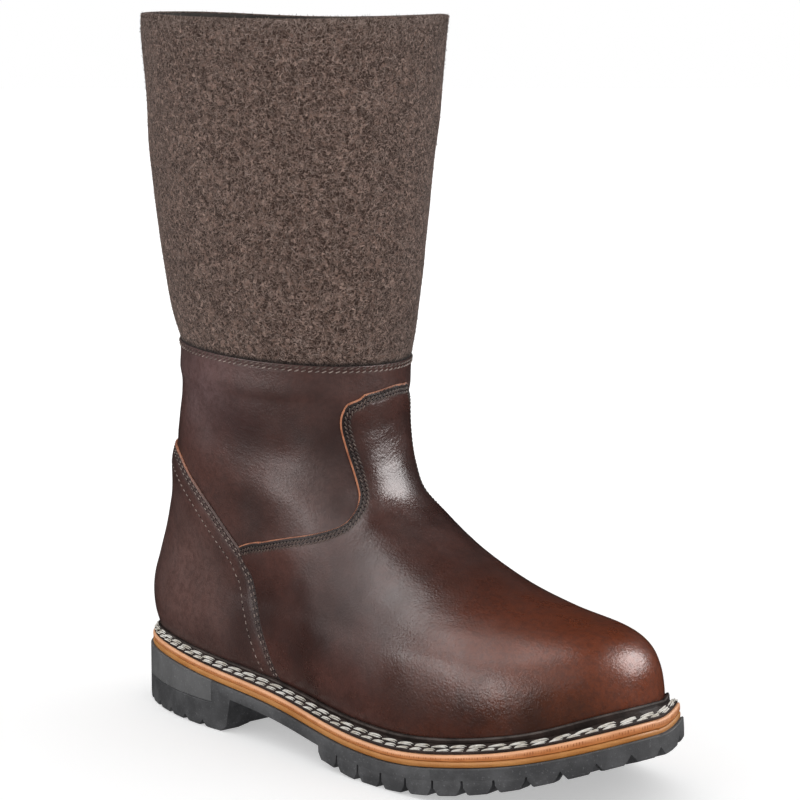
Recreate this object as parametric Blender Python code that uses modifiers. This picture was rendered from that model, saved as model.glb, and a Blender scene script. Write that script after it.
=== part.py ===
"""Winter boot for the right foot.

A felt shaft stands on a leather upper, which is welted to two leather midsoles over a lugged rubber sole.
Sizes are in millimetres and become metres when a mesh is made.  +X points to the toe, +Y to the inner side
of the foot and +Z up.  The back of the midsoles is at x = 0 until the finished boot is centred.
"""
import math
from collections import namedtuple

import bmesh
import bpy
import numpy as np

MM = 0.001
GAP = 0.3
MERGE_DISTANCE = 0.001
SHARP_ANGLE = math.radians(35)

# Sole: heights are from the ground to the underside of the midsoles
SOLE_LENGTH = 308.0
HEEL_HEIGHT = 26.0
FOREFOOT_HEIGHT = 11.7
WAIST_START = 40.0
WAIST_END = 184.0
WAIST_SOFTNESS = 9.0
SPRING_START = 198.5
TOE_SPRING = 23.0
SPRING_POWER = 1.8
MIDSOLE_LAYER = 2.7
RUBBER_PROUD = 1.2
RUBBER_BASE = 5.0

# Heel block, lift and breast
BREAST_X = 86.0
LIFT_FRONT_X = 76.0
HEEL_BLOCK_HEIGHT = 12.2
HEEL_LUG_HEIGHT = 6.0

# Lugs: a row stands round the edge, crosses stand along the middle
LUG_PITCH = 16.0
HEEL_LUG_PITCH = 13.5
LUG_DEPTH = 15.0
LUG_INSET = 0.25
LUG_ROOT_GAP = 1.2
LUG_FOOT_GAP = 4.0
LUG_START_X = 158.0
LUG_SINK = 2.0
EDGE_POINTS = 200
CROSS_COUNT = 5
CROSS_START_X = 178.0
CROSS_PITCH = 25.0
CROSS_ARM = 9.0
CROSS_LENGTH = 20.0
CROSS_WIDTH = 34.0
CROSS_SWAY = 0.5
HEEL_CROSS_X = 45.0

# Welt: a flange that slopes down to the edge of the midsoles, and a lip against the leather
WELT_INSET = 0.8
WELT_EDGE = 1.1
WELT_ROOT = 2.9
WELT_LIP = 1.8
WELT_LIP_ROW = 0.6
WELT_SEARCH = 40.0
SEARCH_STEPS = 40

# Leather and felt
UPPER_WALL = 2.2
VAMP_LEATHER = 1.5
COUNTER_LEATHER = 1.9
INSOLE_THICKNESS = 3.0
FELT = 4.5
FELT_HEM = 2.2
HEM_ROW = 12.3
SHAFT_RINGS = 5
SEAM_LEDGE = 0.01

# The last: plan outlines are rounded noses and tails joined at the ball, narrowed at the waist
Plan = namedtuple("Plan", "back_x front_x lateral medial peak waist_lat waist_med tail nose sway")
SOLE_PLAN = Plan(0.0, SOLE_LENGTH, 55.5, 53.0, 0.67, 9.0, 19.5, 2.3, 2.1, 1.5)
WAIST_PLACE = 0.38
WAIST_REACH = 0.16

# Sections of the boot from the feather edge up to the collar.  A section runs from its back point to its
# front point, with half widths to the outer and inner side.  Sag is how far it follows the sole's arch.
Section = namedtuple("Section", Plan._fields + ("back_z", "front_z", "sag"))
SECTIONS = (
    #       back_x front_x lat   med   peak  waists     tail  nose  sway back_z front_z sag
    Section(7.0, 295.0, 45.0, 44.0, 0.67, 9.0, 17.0, 2.30, 2.10, 4.0, 31.7, 35.7, 1.00),
    Section(3.0, 294.0, 47.5, 46.0, 0.66, 8.0, 14.0, 2.30, 2.10, 4.0, 41.0, 47.0, 0.90),
    Section(1.5, 292.0, 47.5, 45.5, 0.65, 7.0, 11.0, 2.30, 2.10, 4.0, 50.0, 56.0, 0.75),
    Section(2.0, 287.0, 45.5, 44.0, 0.64, 5.5, 8.0, 2.30, 2.10, 4.0, 58.0, 63.0, 0.60),
    Section(5.0, 277.0, 42.0, 41.0, 0.60, 4.0, 5.0, 2.35, 2.10, 4.0, 66.0, 67.5, 0.45),
    Section(8.5, 254.5, 39.5, 38.0, 0.57, 2.0, 2.5, 2.40, 2.10, 4.0, 74.0, 70.0, 0.30),
    Section(12.5, 227.5, 38.5, 37.0, 0.53, 0.5, 0.5, 2.40, 2.05, 4.0, 82.0, 75.5, 0.20),
    Section(17.0, 199.5, 39.0, 38.0, 0.50, 0.0, 0.0, 2.35, 2.00, 4.0, 92.0, 84.5, 0.10),
    Section(21.5, 175.0, 40.0, 39.5, 0.49, 0.0, 0.0, 2.30, 2.00, 3.5, 103.0, 95.5, 0.00),
    Section(24.5, 157.0, 41.5, 41.0, 0.48, 0.0, 0.0, 2.20, 2.00, 3.0, 115.0, 108.0, 0.00),
    Section(27.0, 149.0, 42.5, 42.5, 0.48, 0.0, 0.0, 2.10, 2.00, 2.0, 126.0, 121.5, 0.00),
    Section(29.5, 145.0, 43.5, 43.5, 0.48, 0.0, 0.0, 2.05, 2.00, 1.0, 138.0, 136.5, 0.00),
    Section(31.0, 144.5, 44.5, 45.0, 0.49, 0.0, 0.0, 2.00, 2.00, 0.0, 153.0, 149.5, 0.00),
    Section(28.5, 146.0, 48.0, 47.5, 0.50, 0.0, 0.0, 2.00, 2.00, 0.0, 171.0, 164.0, 0.00),
    Section(17.5, 155.0, 56.5, 56.0, 0.50, 0.0, 0.0, 2.00, 2.00, 0.0, 243.0, 240.5, 0.00),
    Section(12.5, 160.5, 61.5, 61.0, 0.50, 0.0, 0.0, 2.00, 2.00, 0.0, 303.0, 302.0, 0.00),
    Section(12.0, 162.0, 61.5, 61.5, 0.50, 0.0, 0.0, 2.00, 2.00, 0.0, 317.0, 317.0, 0.00),
)
SEAM_ROW = 13
COLLAR_ROW = 16

# Side views of the overlay edges as (x, z), from the heel's back downwards and from the counter upwards
COUNTER_EDGE = ((18.0, 139.0), (43.5, 123.0), (61.0, 111.5), (77.0, 98.0), (92.0, 84.5),
                (98.0, 75.5), (102.5, 65.0), (106.5, 55.0), (110.5, 45.0), (116.0, 32.0), (121.0, 18.0))
VAMP_EDGE = ((101.0, 87.0), (122.0, 93.5), (141.0, 97.0), (150.0, 102.5), (149.0, 111.0), (144.5, 121.5),
             (140.0, 136.5), (140.5, 147.0), (144.5, 153.5), (152.0, 157.0))
COUNTER_CORNER = 4
EDGE_STEPS = 4
CUTTER_REACH = 90.0

# Grid of the leather: columns round the boot and rows up it, numbered as the sections are
COLUMNS = 44
COLUMN_STEP = 2 * math.pi / COLUMNS
ANGLES = np.arange(COLUMNS) * COLUMN_STEP
VAMP_COLUMNS = np.arange(-16, 17)
COUNTER_COLUMNS = np.arange(12, COLUMNS - 11)
UPPER_ROWS = np.array((0.0, 0.6, 1.3, 2.0, 2.7, 3.4, 4.0, 4.5, 5.0, 5.6, 6.3, 7.0,
                       8.0, 9.0, 10.0, 11.0, 12.0, 13.0))
OVERLAY_HEM_ROW = 0.14
OVERLAY_ROWS = np.concatenate([[OVERLAY_HEM_ROW], UPPER_ROWS[1:]])


def soft_ramp(x, start):
    """Zero before start and x - start after it, with a soft corner."""
    return WAIST_SOFTNESS * np.logaddexp(0.0, (np.asarray(x, float) - start) / WAIST_SOFTNESS)


def toe_rise(x):
    """Height of the tread above the ground."""
    along = np.clip((np.asarray(x, float) - SPRING_START) / (SOLE_LENGTH - SPRING_START), 0.0, None)
    return TOE_SPRING * along ** SPRING_POWER


def sole_line(x):
    """Underside of the midsoles: high at the heel, down the waist, then up with the toe spring."""
    slope = (FOREFOOT_HEIGHT - HEEL_HEIGHT) / (WAIST_END - WAIST_START)
    return HEEL_HEIGHT + slope * (soft_ramp(x, WAIST_START) - soft_ramp(x, WAIST_END)) + toe_rise(x)


def feather_line(x):
    """Top of the midsoles, where the upper meets them."""
    return sole_line(x) + 2 * MIDSOLE_LAYER


def waist_dip(s):
    return np.exp(-((s - WAIST_PLACE) / WAIST_REACH) ** 2)


def grow(plan, margin):
    """The plan with its outline moved out by a margin, or in by a negative one."""
    return plan._replace(back_x=plan.back_x - margin, front_x=plan.front_x + margin,
                         lateral=plan.lateral + margin, medial=plan.medial + margin)


def plan_sides(plan, x):
    """Outer and inner y of a plan outline at x."""
    s = np.clip((np.asarray(x, float) - plan.back_x) / (plan.front_x - plan.back_x), 0.0, 1.0)
    ahead = np.clip((s - plan.peak) / (1.0 - plan.peak), 0.0, 1.0)
    behind = np.clip((plan.peak - s) / plan.peak, 0.0, 1.0)
    fullness = np.where(s >= plan.peak, (1.0 - ahead ** plan.nose) ** (1.0 / plan.nose),
                        (1.0 - behind ** plan.tail) ** (1.0 / plan.tail))
    middle = plan.sway * s ** 2
    outer = middle - fullness * (plan.lateral - plan.waist_lat * waist_dip(s))
    inner = middle + fullness * (plan.medial - plan.waist_med * waist_dip(s))
    return outer, inner


def section_at(row):
    """Section values at a row number, with a smooth curve through the table's rows."""
    table = np.array(SECTIONS)
    row = np.clip(np.asarray(row, float), 0, len(table) - 1)
    lower = np.minimum(row.astype(int), len(table) - 2)
    f = (row - lower)[:, None]
    before, here = table[np.maximum(lower - 1, 0)], table[lower]
    there, after = table[lower + 1], table[np.minimum(lower + 2, len(table) - 1)]
    bend = 2 * before - 5 * here + 4 * there - after + f * (3 * (here - there) + after - before)
    return Section(*(here + 0.5 * f * (there - before + f * bend)).T[:, :, None])


def surface(angles, rows):
    """Outside of the boot: a grid of points, one line for each row and a point for each angle.

    An angle of 0 is the toe, a half turn is the heel, and the outer side lies between them.
    """
    sec = section_at(rows)
    cos, sin = np.cos(angles)[None, :], np.sin(angles)[None, :]
    power = 2.0 / np.where(cos >= 0, sec.nose, sec.tail)
    along, fullness = np.abs(cos) ** power, np.abs(sin) ** power
    s = np.where(cos >= 0, sec.peak + (1 - sec.peak) * along, sec.peak * (1 - along))
    half = np.where(sin >= 0, sec.lateral - sec.waist_lat * waist_dip(s),
                    sec.medial - sec.waist_med * waist_dip(s))
    x = sec.back_x + (sec.front_x - sec.back_x) * s
    y = sec.sway * s ** 2 - np.sign(sin) * half * fullness
    level = sec.back_z + (sec.front_z - sec.back_z) * s
    back_feather, front_feather = feather_line(sec.back_x), feather_line(sec.front_x)
    arch = feather_line(x) - back_feather - (front_feather - back_feather) * s
    return np.stack([x, y, level + sec.sag * arch], axis=-1)


def skin(angles, rows, offset):
    """The boot's surface moved along its normals, outwards for a positive offset."""
    angles, rows = np.asarray(angles, float), np.asarray(rows, float)
    step = 0.001
    above, below = np.clip(rows + step, 0, COLLAR_ROW), np.clip(rows - step, 0, COLLAR_ROW)
    up = surface(angles, above) - surface(angles, below)
    round_ = surface(angles + step, rows) - surface(angles - step, rows)
    normal = np.cross(up, round_)
    normal /= np.linalg.norm(normal, axis=-1, keepdims=True)
    return surface(angles, rows) + offset * normal


def smooth_path(points, steps):
    """Points along a smooth curve through a few chosen points."""
    p = np.array((points[0],) + tuple(points) + (points[-1],), float)
    path = []
    for a, b, c, d in zip(p, p[1:], p[2:], p[3:]):
        for f in np.arange(steps) / steps:
            path.append(b + 0.5 * f * (c - a + f * (2 * a - 5 * b + 4 * c - d + f * (3 * (b - c) + d - a))))
    return path + [p[-1]]


def new_collection(name):
    collection = bpy.data.collections.new(name)
    bpy.context.scene.collection.children.link(collection)
    return collection


def add_material(name, color, roughness):
    material = bpy.data.materials.new(name)
    material.use_nodes = True
    shader = material.node_tree.nodes["Principled BSDF"]
    shader.inputs["Base Color"].default_value = (*color, 1.0)
    shader.inputs["Roughness"].default_value = roughness
    shader.inputs["Metallic"].default_value = 0.0
    return material


def add_part(name, bm, material):
    """A named part of the boot from a bmesh in millimetres."""
    bmesh.ops.remove_doubles(bm, verts=bm.verts, dist=MERGE_DISTANCE)
    bmesh.ops.dissolve_degenerate(bm, edges=bm.edges, dist=MERGE_DISTANCE)
    bmesh.ops.scale(bm, vec=(MM, MM, MM), verts=bm.verts)
    mesh = bpy.data.meshes.new(name)
    bm.to_mesh(mesh)
    bm.free()
    mesh.shade_smooth()
    mesh.set_sharp_from_angle(angle=SHARP_ANGLE)
    mesh.materials.append(material)
    part = bpy.data.objects.new(name, mesh)
    boot_parts.objects.link(part)
    part.parent = boot
    return part


def add_cutter(name, bm):
    """A form that cuts or joins a part and isn't one itself."""
    bmesh.ops.scale(bm, vec=(MM, MM, MM), verts=bm.verts)
    mesh = bpy.data.meshes.new(name)
    bm.to_mesh(mesh)
    bm.free()
    cutter = bpy.data.objects.new(name, mesh)
    cutters.objects.link(cutter)
    cutter.parent = boot
    cutter.hide_render = True
    cutter.display_type = "WIRE"
    return cutter


def boolean(part, operation, cutter):
    modifier = part.modifiers.new(cutter.name, "BOOLEAN")
    modifier.operation = operation
    modifier.solver = "EXACT"
    modifier.object = cutter


def loft(bm, rings, wrap=False, closed=True, caps=False):
    """Triangles between neighbouring rings of points.

    A closed ring joins its last point to its first, wrap joins the last ring to the first one, and caps
    close both ends.
    """
    lines = [[bm.verts.new(point) for point in ring] for ring in rings]
    count = len(lines[0])
    pairs = list(zip(lines, lines[1:]))
    if wrap:
        pairs.append((lines[-1], lines[0]))
    for low, high in pairs:
        for k in range(count if closed else count - 1):
            n = (k + 1) % count
            bm.faces.new((low[k], high[n], low[n]))
            bm.faces.new((low[k], high[k], high[n]))
    if caps:
        bm.faces.new(lines[0])
        bm.faces.new(list(reversed(lines[-1])))


def face_out(bm):
    bmesh.ops.recalc_face_normals(bm, faces=bm.faces)


def stations(start, end, round_start, round_end, count):
    """Values of x along a plate, crowded where its end is round."""
    f = np.linspace(0.0, 1.0, count)
    if round_start and round_end:
        f = 0.5 - 0.5 * np.cos(math.pi * f)
    elif round_end:
        f = np.sin(0.5 * math.pi * f)
    elif round_start:
        f = 1.0 - np.cos(0.5 * math.pi * f)
    return start + (end - start) * f


def plate(bm, plan, bottom, top, start=None, end=None, count=34):
    """A plate with a plan outline between two heights, cut square at start or end where they are given."""
    x0 = plan.back_x if start is None else start
    x1 = plan.front_x if end is None else end
    rings = []
    for x in stations(x0, x1, start is None, end is None, count):
        outer, inner = plan_sides(plan, x)
        low, high = bottom(x), top(x)
        rings.append([(x, outer, low), (x, inner, low), (x, inner, high), (x, outer, high)])
    loft(bm, rings, caps=True)
    bmesh.ops.remove_doubles(bm, verts=bm.verts, dist=MERGE_DISTANCE)
    bmesh.ops.dissolve_degenerate(bm, edges=bm.edges, dist=MERGE_DISTANCE)
    face_out(bm)


def edge_walk(plan, x_limit, toward_toe):
    """Points round an outline, from its outer side round the toe or heel to its inner side.

    Gives the points, the unit vectors into the sole and the lengths along the edge.
    """
    end = plan.front_x if toward_toe else plan.back_x
    turn = np.sin(np.linspace(0.0, 0.5 * math.pi, EDGE_POINTS))
    xs = x_limit + (end - x_limit) * turn
    outer, inner = plan_sides(plan, xs)
    path = np.concatenate([np.stack([xs, outer], 1), np.stack([xs, inner], 1)[-2::-1]])
    length = np.concatenate([[0.0], np.cumsum(np.linalg.norm(np.diff(path, axis=0), axis=1))])
    tangent = np.gradient(path, axis=0)
    inward = np.stack([-tangent[:, 1], tangent[:, 0]], 1) * (1.0 if toward_toe else -1.0)
    inward /= np.linalg.norm(inward, axis=1, keepdims=True)
    return path, inward, length


def edge_lugs(bm, plan, x_limit, toward_toe, pitch, foot, root):
    """Lugs round an edge, wider at the root than at the foot, so the gaps are notches."""
    path, inward, length = edge_walk(grow(plan, -LUG_INSET), x_limit, toward_toe)
    count = round(length[-1] / pitch)
    pitch = length[-1] / count
    for k in range(count):
        rings = []
        for gap, height in ((LUG_FOOT_GAP, foot), (LUG_ROOT_GAP, root)):
            along = np.linspace(k * pitch + 0.5 * gap, (k + 1) * pitch - 0.5 * gap, 3)
            edge, into = (np.stack([np.interp(along, length, column) for column in table.T], 1)
                          for table in (path, inward))
            inner = edge[[2, 0]] + into[[2, 0]] * LUG_DEPTH
            rings.append([(x, y, height(x)) for x, y in np.concatenate([edge, inner])])
        loft(bm, rings, caps=True)


def cross_lug(bm, x, y, foot, root):
    """A cross in the middle of the tread."""
    arm, length, width = 0.5 * CROSS_ARM, 0.5 * CROSS_LENGTH, 0.5 * CROSS_WIDTH
    quarter = ((length, arm), (arm, arm), (arm, width))
    outline = [(u, v) for u, v in quarter]
    outline += [(-u, v) for u, v in reversed(quarter)]
    outline += [(-u, -v) for u, v in quarter]
    outline += [(u, -v) for u, v in reversed(quarter)]
    loft(bm, [[(x + u, y + v, height(x + u)) for u, v in outline] for height in (foot, root)], caps=True)


def outsole_top(x):
    return sole_line(x) - GAP


def outsole_base(x):
    return outsole_top(x) - RUBBER_BASE


def level(height):
    """A height that is the same all along the boot."""
    return lambda x: height


def make_outsole():
    """Forefoot and waist in one rubber plate, with lugs down to the ground."""
    bm = bmesh.new()
    plate(bm, RUBBER_PLAN, outsole_base, outsole_top, start=LIFT_FRONT_X + GAP)
    outsole = add_part("outsole", bm, rubber)

    def root(x):
        return outsole_base(x) + LUG_SINK

    lugs = bmesh.new()
    edge_lugs(lugs, RUBBER_PLAN, LUG_START_X, True, LUG_PITCH, toe_rise, root)
    for k in range(CROSS_COUNT):
        cross_lug(lugs, CROSS_START_X + k * CROSS_PITCH, SOLE_PLAN.sway + k * CROSS_SWAY, toe_rise, root)
    face_out(lugs)
    boolean(outsole, "UNION", add_cutter("outsole_lugs", lugs))


def make_heel():
    """Lugged heel block with a column up to the outsole along its breast."""
    bm = bmesh.new()
    plate(bm, RUBBER_PLAN, level(HEEL_LUG_HEIGHT), level(HEEL_BLOCK_HEIGHT), end=BREAST_X, count=20)
    heel = add_part("heel", bm, rubber)
    lugs = bmesh.new()
    root = level(HEEL_LUG_HEIGHT + LUG_SINK)
    edge_lugs(lugs, RUBBER_PLAN, BREAST_X, False, HEEL_LUG_PITCH, level(0.0), root)
    cross_lug(lugs, HEEL_CROSS_X, 0.0, level(0.0), root)
    face_out(lugs)
    boolean(heel, "UNION", add_cutter("heel_lugs", lugs))

    def column_top(x):
        return outsole_base(x) - GAP

    column = bmesh.new()
    plate(column, RUBBER_PLAN, level(HEEL_BLOCK_HEIGHT - LUG_SINK), column_top,
          start=LIFT_FRONT_X + GAP, end=BREAST_X, count=4)
    boolean(heel, "UNION", add_cutter("heel_column", column))


def make_heel_lift():
    bm = bmesh.new()
    plate(bm, RUBBER_PLAN, level(HEEL_BLOCK_HEIGHT + GAP), outsole_top, end=LIFT_FRONT_X, count=20)
    add_part("heel_lift", bm, lift_rubber)


def make_midsoles():
    for name, layer, material in (("midsole_base", 0, base_leather), ("midsole_top", 1, tan_leather)):
        bm = bmesh.new()

        def bottom(x):
            return sole_line(x) + layer * MIDSOLE_LAYER

        def top(x):
            return sole_line(x) + (layer + 1) * MIDSOLE_LAYER - GAP

        plate(bm, SOLE_PLAN, bottom, top)
        add_part(name, bm, material)


def reach(plan, point, direction):
    """Point where a ray in plan, from inside an outline, meets it."""
    near, far = 0.0, WELT_SEARCH
    for _ in range(SEARCH_STEPS):
        middle = 0.5 * (near + far)
        x, y = point + middle * direction
        outer, inner = plan_sides(plan, x)
        if plan.back_x < x < plan.front_x and outer < y < inner:
            near = middle
        else:
            far = middle
    return point + near * direction


def make_welt():
    """A ring with an angle section: sloped flange on the midsoles, lip up the leather."""
    inner_offset = GAP + COUNTER_LEATHER + 1.5 * GAP
    outer_offset = inner_offset + WELT_LIP
    flange_plan = grow(SOLE_PLAN, -WELT_INSET)
    low_in, low_out = (skin(ANGLES, [0.0], d)[0] for d in (inner_offset, outer_offset))
    lip_in, lip_out = (skin(ANGLES, [WELT_LIP_ROW], d)[0] for d in (inner_offset, outer_offset))
    rings = []
    for a, b, c, d in zip(low_in, low_out, lip_in, lip_out):
        direction = (b - a)[:2] / np.linalg.norm((b - a)[:2])
        edge = reach(flange_plan, a[:2], direction)
        root = b[:2]
        rings.append([
            (a[0], a[1], feather_line(a[0])),
            (edge[0], edge[1], feather_line(edge[0])),
            (edge[0], edge[1], feather_line(edge[0]) + WELT_EDGE),
            (root[0], root[1], feather_line(root[0]) + WELT_ROOT),
            tuple(d),
            tuple(c),
        ])
    bm = bmesh.new()
    loft(bm, rings, wrap=True)
    face_out(bm)
    add_part("welt", bm, welt_leather)


def make_insole():
    """A plate inside the upper, clear of its wall."""
    foot_bed = Plan(*SECTIONS[0][:len(Plan._fields)])

    def top(x):
        return feather_line(x) + INSOLE_THICKNESS

    bm = bmesh.new()
    plate(bm, grow(foot_bed, -UPPER_WALL - 4 * GAP), feather_line, top)
    add_part("insole", bm, insole_leather)


def add_solidify(part, thickness, outward):
    modifier = part.modifiers.new("wall", "SOLIDIFY")
    modifier.thickness = thickness * MM
    modifier.offset = 1.0 if outward else -1.0
    modifier.use_quality_normals = True


def make_upper():
    bm = bmesh.new()
    loft(bm, skin(ANGLES, UPPER_ROWS, 0.0))
    upper = add_part("upper", bm, quarter_leather)
    add_solidify(upper, UPPER_WALL, outward=False)


def side_cutter(name, outline):
    """A side view outline extruded across the boot."""
    bm = bmesh.new()
    loft(bm, [[(x, y, z) for x, z in outline] for y in (-CUTTER_REACH, CUTTER_REACH)], caps=True)
    face_out(bm)
    return add_cutter(name, bm)


def add_overlay(name, columns, material, thickness, outline):
    """Leather laid on the upper: a shell over its own grid, cut to a side view outline."""
    bm = bmesh.new()
    loft(bm, skin(columns * COLUMN_STEP, OVERLAY_ROWS, GAP), closed=False)
    overlay = add_part(name, bm, material)
    add_solidify(overlay, thickness, outward=True)
    boolean(overlay, "INTERSECT", side_cutter(name + "_outline", outline))


def make_overlays():
    """Heel counter, and the vamp that meets it in a seam and ends in a curved edge over the instep."""
    counter_edge = smooth_path(COUNTER_EDGE, EDGE_STEPS)
    behind = -CUTTER_REACH
    outline = [(behind, COUNTER_EDGE[0][1])] + counter_edge + [(behind, 0.0)]
    add_overlay("heel_counter", COUNTER_COLUMNS, counter_leather, COUNTER_LEATHER, outline)
    seam = [point + GAP for point in counter_edge[COUNTER_CORNER * EDGE_STEPS:]]
    vamp_edge = smooth_path((seam[0],) + VAMP_EDGE, EDGE_STEPS)
    ahead = SOLE_LENGTH + CUTTER_REACH
    outline = seam[:0:-1] + vamp_edge + [(ahead, VAMP_EDGE[-1][1]), (ahead, 0.0)]
    add_overlay("vamp", VAMP_COLUMNS, vamp_leather, VAMP_LEATHER, outline)


def make_shaft():
    """A felt tube, thinned to a hem below the seam where the leather covers it."""
    hem_outside = -(UPPER_WALL + 2 * GAP)
    hem_inside = hem_outside - FELT_HEM
    ledge = SEAM_ROW + SEAM_LEDGE
    rows_up = np.linspace(ledge, COLLAR_ROW, SHAFT_RINGS)
    profile = [(HEM_ROW, hem_outside), (ledge, hem_outside)]
    profile += [(row, 0.0) for row in rows_up]
    profile += [(row, -FELT) for row in rows_up[::-1]]
    profile += [(HEM_ROW, hem_inside)]
    bm = bmesh.new()
    loft(bm, [skin(ANGLES, [row], offset)[0] for row, offset in profile], wrap=True)
    face_out(bm)
    add_part("shaft", bm, felt)


for old in list(bpy.data.objects):
    bpy.data.objects.remove(old, do_unlink=True)

RUBBER_PLAN = grow(SOLE_PLAN, RUBBER_PROUD)
boot_parts = new_collection("winter_boot")
cutters = new_collection("cutters")
boot = bpy.data.objects.new("boot", None)
boot_parts.objects.link(boot)

rubber = add_material("lug_rubber", (0.030, 0.032, 0.034), 0.75)
lift_rubber = add_material("lift_rubber", (0.075, 0.077, 0.080), 0.70)
base_leather = add_material("ochre_midsole", (0.45, 0.24, 0.08), 0.55)
tan_leather = add_material("tan_midsole", (0.55, 0.25, 0.10), 0.50)
welt_leather = add_material("welt_leather", (0.045, 0.025, 0.020), 0.50)
insole_leather = add_material("insole_leather", (0.30, 0.20, 0.13), 0.70)
quarter_leather = add_material("quarter_leather", (0.055, 0.022, 0.016), 0.38)
vamp_leather = add_material("vamp_leather", (0.060, 0.024, 0.017), 0.32)
counter_leather = add_material("counter_leather", (0.055, 0.022, 0.016), 0.38)
felt = add_material("grey_brown_felt", (0.090, 0.068, 0.055), 0.95)

make_outsole()
make_heel()
make_heel_lift()
make_midsoles()
make_welt()
make_insole()
make_upper()
make_overlays()
make_shaft()
boot.location.x = -0.5 * (RUBBER_PLAN.back_x + RUBBER_PLAN.front_x) * MM
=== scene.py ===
"""Looks of the winter boot: leather, felt, stitching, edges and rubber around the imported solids.

Sizes are in millimetres in the boot's own frame, where the back of the midsoles is at x = 0, +X points to the
toe and the outer side of the foot is at negative y.  put() turns them into the frame's metres.
"""
import math
from collections import namedtuple

import bpy
import numpy as np
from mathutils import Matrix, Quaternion, Vector
from mathutils.geometry import delaunay_2d_cdt
from mathutils.kdtree import KDTree


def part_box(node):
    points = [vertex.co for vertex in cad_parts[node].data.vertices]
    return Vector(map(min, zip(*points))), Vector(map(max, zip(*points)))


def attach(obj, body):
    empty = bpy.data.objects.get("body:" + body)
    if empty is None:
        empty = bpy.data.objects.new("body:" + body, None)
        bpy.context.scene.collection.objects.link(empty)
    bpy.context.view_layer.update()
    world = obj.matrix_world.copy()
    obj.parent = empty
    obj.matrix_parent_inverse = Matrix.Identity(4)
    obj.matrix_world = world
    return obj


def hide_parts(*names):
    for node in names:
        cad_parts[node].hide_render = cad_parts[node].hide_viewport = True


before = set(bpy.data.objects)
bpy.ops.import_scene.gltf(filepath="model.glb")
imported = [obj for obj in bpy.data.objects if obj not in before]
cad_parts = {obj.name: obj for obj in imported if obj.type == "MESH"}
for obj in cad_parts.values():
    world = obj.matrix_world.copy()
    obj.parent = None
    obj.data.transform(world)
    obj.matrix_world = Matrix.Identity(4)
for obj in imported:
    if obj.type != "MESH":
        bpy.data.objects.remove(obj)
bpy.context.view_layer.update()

MM = 0.001
BODY = "root"
HEEL_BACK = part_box("midsole_base")[0].x
SEED = 7
SHARP_ANGLE = 40.0

# Sole: heights are from the ground to the underside of the midsoles
SOLE_LENGTH = 308.0
HEEL_HEIGHT = 26.0
FOREFOOT_HEIGHT = 11.7
WAIST_START = 40.0
WAIST_END = 184.0
WAIST_SOFTNESS = 9.0
SPRING_START = 198.5
TOE_SPRING = 23.0
SPRING_POWER = 1.8
MIDSOLE_LAYER = 2.7
LAYER_GAP = 0.12
RUBBER_PROUD = 1.2
RUBBER_BASE = 5.0
RUBBER_ROUND = 0.4
OUTSOLE_ROUND = 0.5
BREAST_X = 86.0
LIFT_FRONT_X = 78.5
HEEL_BLOCK_HEIGHT = 12.2
HEEL_LUG_HEIGHT = 2.8
BREAST_REACH = 2.5
BREAST_SLANT = 0.2
TOE_THICKEN = 0.9
THICKEN_START = 225.0
THICKEN_REACH = 75.0

# A midsole's rounded edge, as insets with heights over its underside, then insets with depths under its top
MIDSOLE_FOOT = ((0.45, 0.0), (0.12, 0.18), (0.0, 0.6))
MIDSOLE_SHOULDER = ((-0.05, 1.2), (0.08, 0.5), (0.35, 0.16), (0.8, 0.0))

# How finely outlines are divided
PLATE_STEPS = 160
HEEL_STEPS = 90
COLUMN_STEPS = 8
EDGE_STEPS = 400

# Lugs
LUG_PITCH = 15.0
HEEL_LUG_PITCH = 14.0
LUG_DEPTH = 15.0
LUG_DRAFT = 4.0
LUG_SLIT = 1.0
LUG_FOOT_GAP = 6.4
LUG_NOTCH = 3.3
LUG_TOE_RISE = 3.2
HEEL_NOTCH = 2.2
LUG_START_X = 158.0
LUG_BACK_RISE = 3.2
LUG_BACK_REACH = 28.0
LUG_BACK_FADE = 30.0
LUG_SINK = 2.0
LUG_ROUND = 0.9
LUG_POINTS = 7
TOE_SLIT_CLOSED = 0.8
FLUSH = 0.02
CROSS_COUNT = 5
CROSS_START_X = 178.0
CROSS_PITCH = 25.0
CROSS_ARM = 9.0
CROSS_LENGTH = 20.0
CROSS_WIDTH = 34.0
CROSS_SWAY = 0.5
HEEL_CROSS_X = 45.0

# Welt and its stitches
WELT_INSET = 0.8
WELT_EDGE = 1.1
WELT_ROOT = 2.9
WELT_OFFSET = 2.0
WELT_LIP = 1.6
WELT_LIP_ROW = 0.5
TOE_LIP_ROWS = 0.04
TIP_LIP_ROWS = 0.14
TIP_LIP_START = 262.0
TIP_LIP_REACH = 35.0
TOE_ROOT_LIFT = 2.6
ROOT_LIFT_END_Y = 32.0
ROOT_LIFT_FADE = 30.0
TOE_ROW_RISE = 10.0
TOE_START = 270.0
TOE_REACH = 30.0
WELT_STEPS = 320
REACH_LIMIT = 40.0
REACH_HALVINGS = 40
LONG_SHARE = 0.38
SHORT_SHARE = 0.80

# The flange from its edge in to the lip, as shares of its width and lifts off its slope, with a sunk channel
# for each row of stitches, and the lip from its outside over its top, as rows off its height and shares of it
FLANGE_PROFILE = (
    (0.98, -WELT_EDGE), (1.0, -0.6 * WELT_EDGE), (1.0, -0.2), (0.97, 0.0),
    (SHORT_SHARE + 0.12, -0.1), (SHORT_SHARE, -0.45), (SHORT_SHARE - 0.12, -0.1),
    (0.5 * (LONG_SHARE + SHORT_SHARE), 0.05),
    (LONG_SHARE + 0.12, -0.1), (LONG_SHARE, -0.45), (LONG_SHARE - 0.14, -0.1), (0.0, 0.3),
)
LIP_PROFILE = ((-0.14, 1.02), (-0.06, 1.0), (-0.01, 0.85), (0.0, 0.6), (-0.01, 0.2), (-0.06, 0.0))
# lip ring where the painted highlight along its top edge starts
HIGHLIGHT_LIP_STEP = 1

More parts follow.
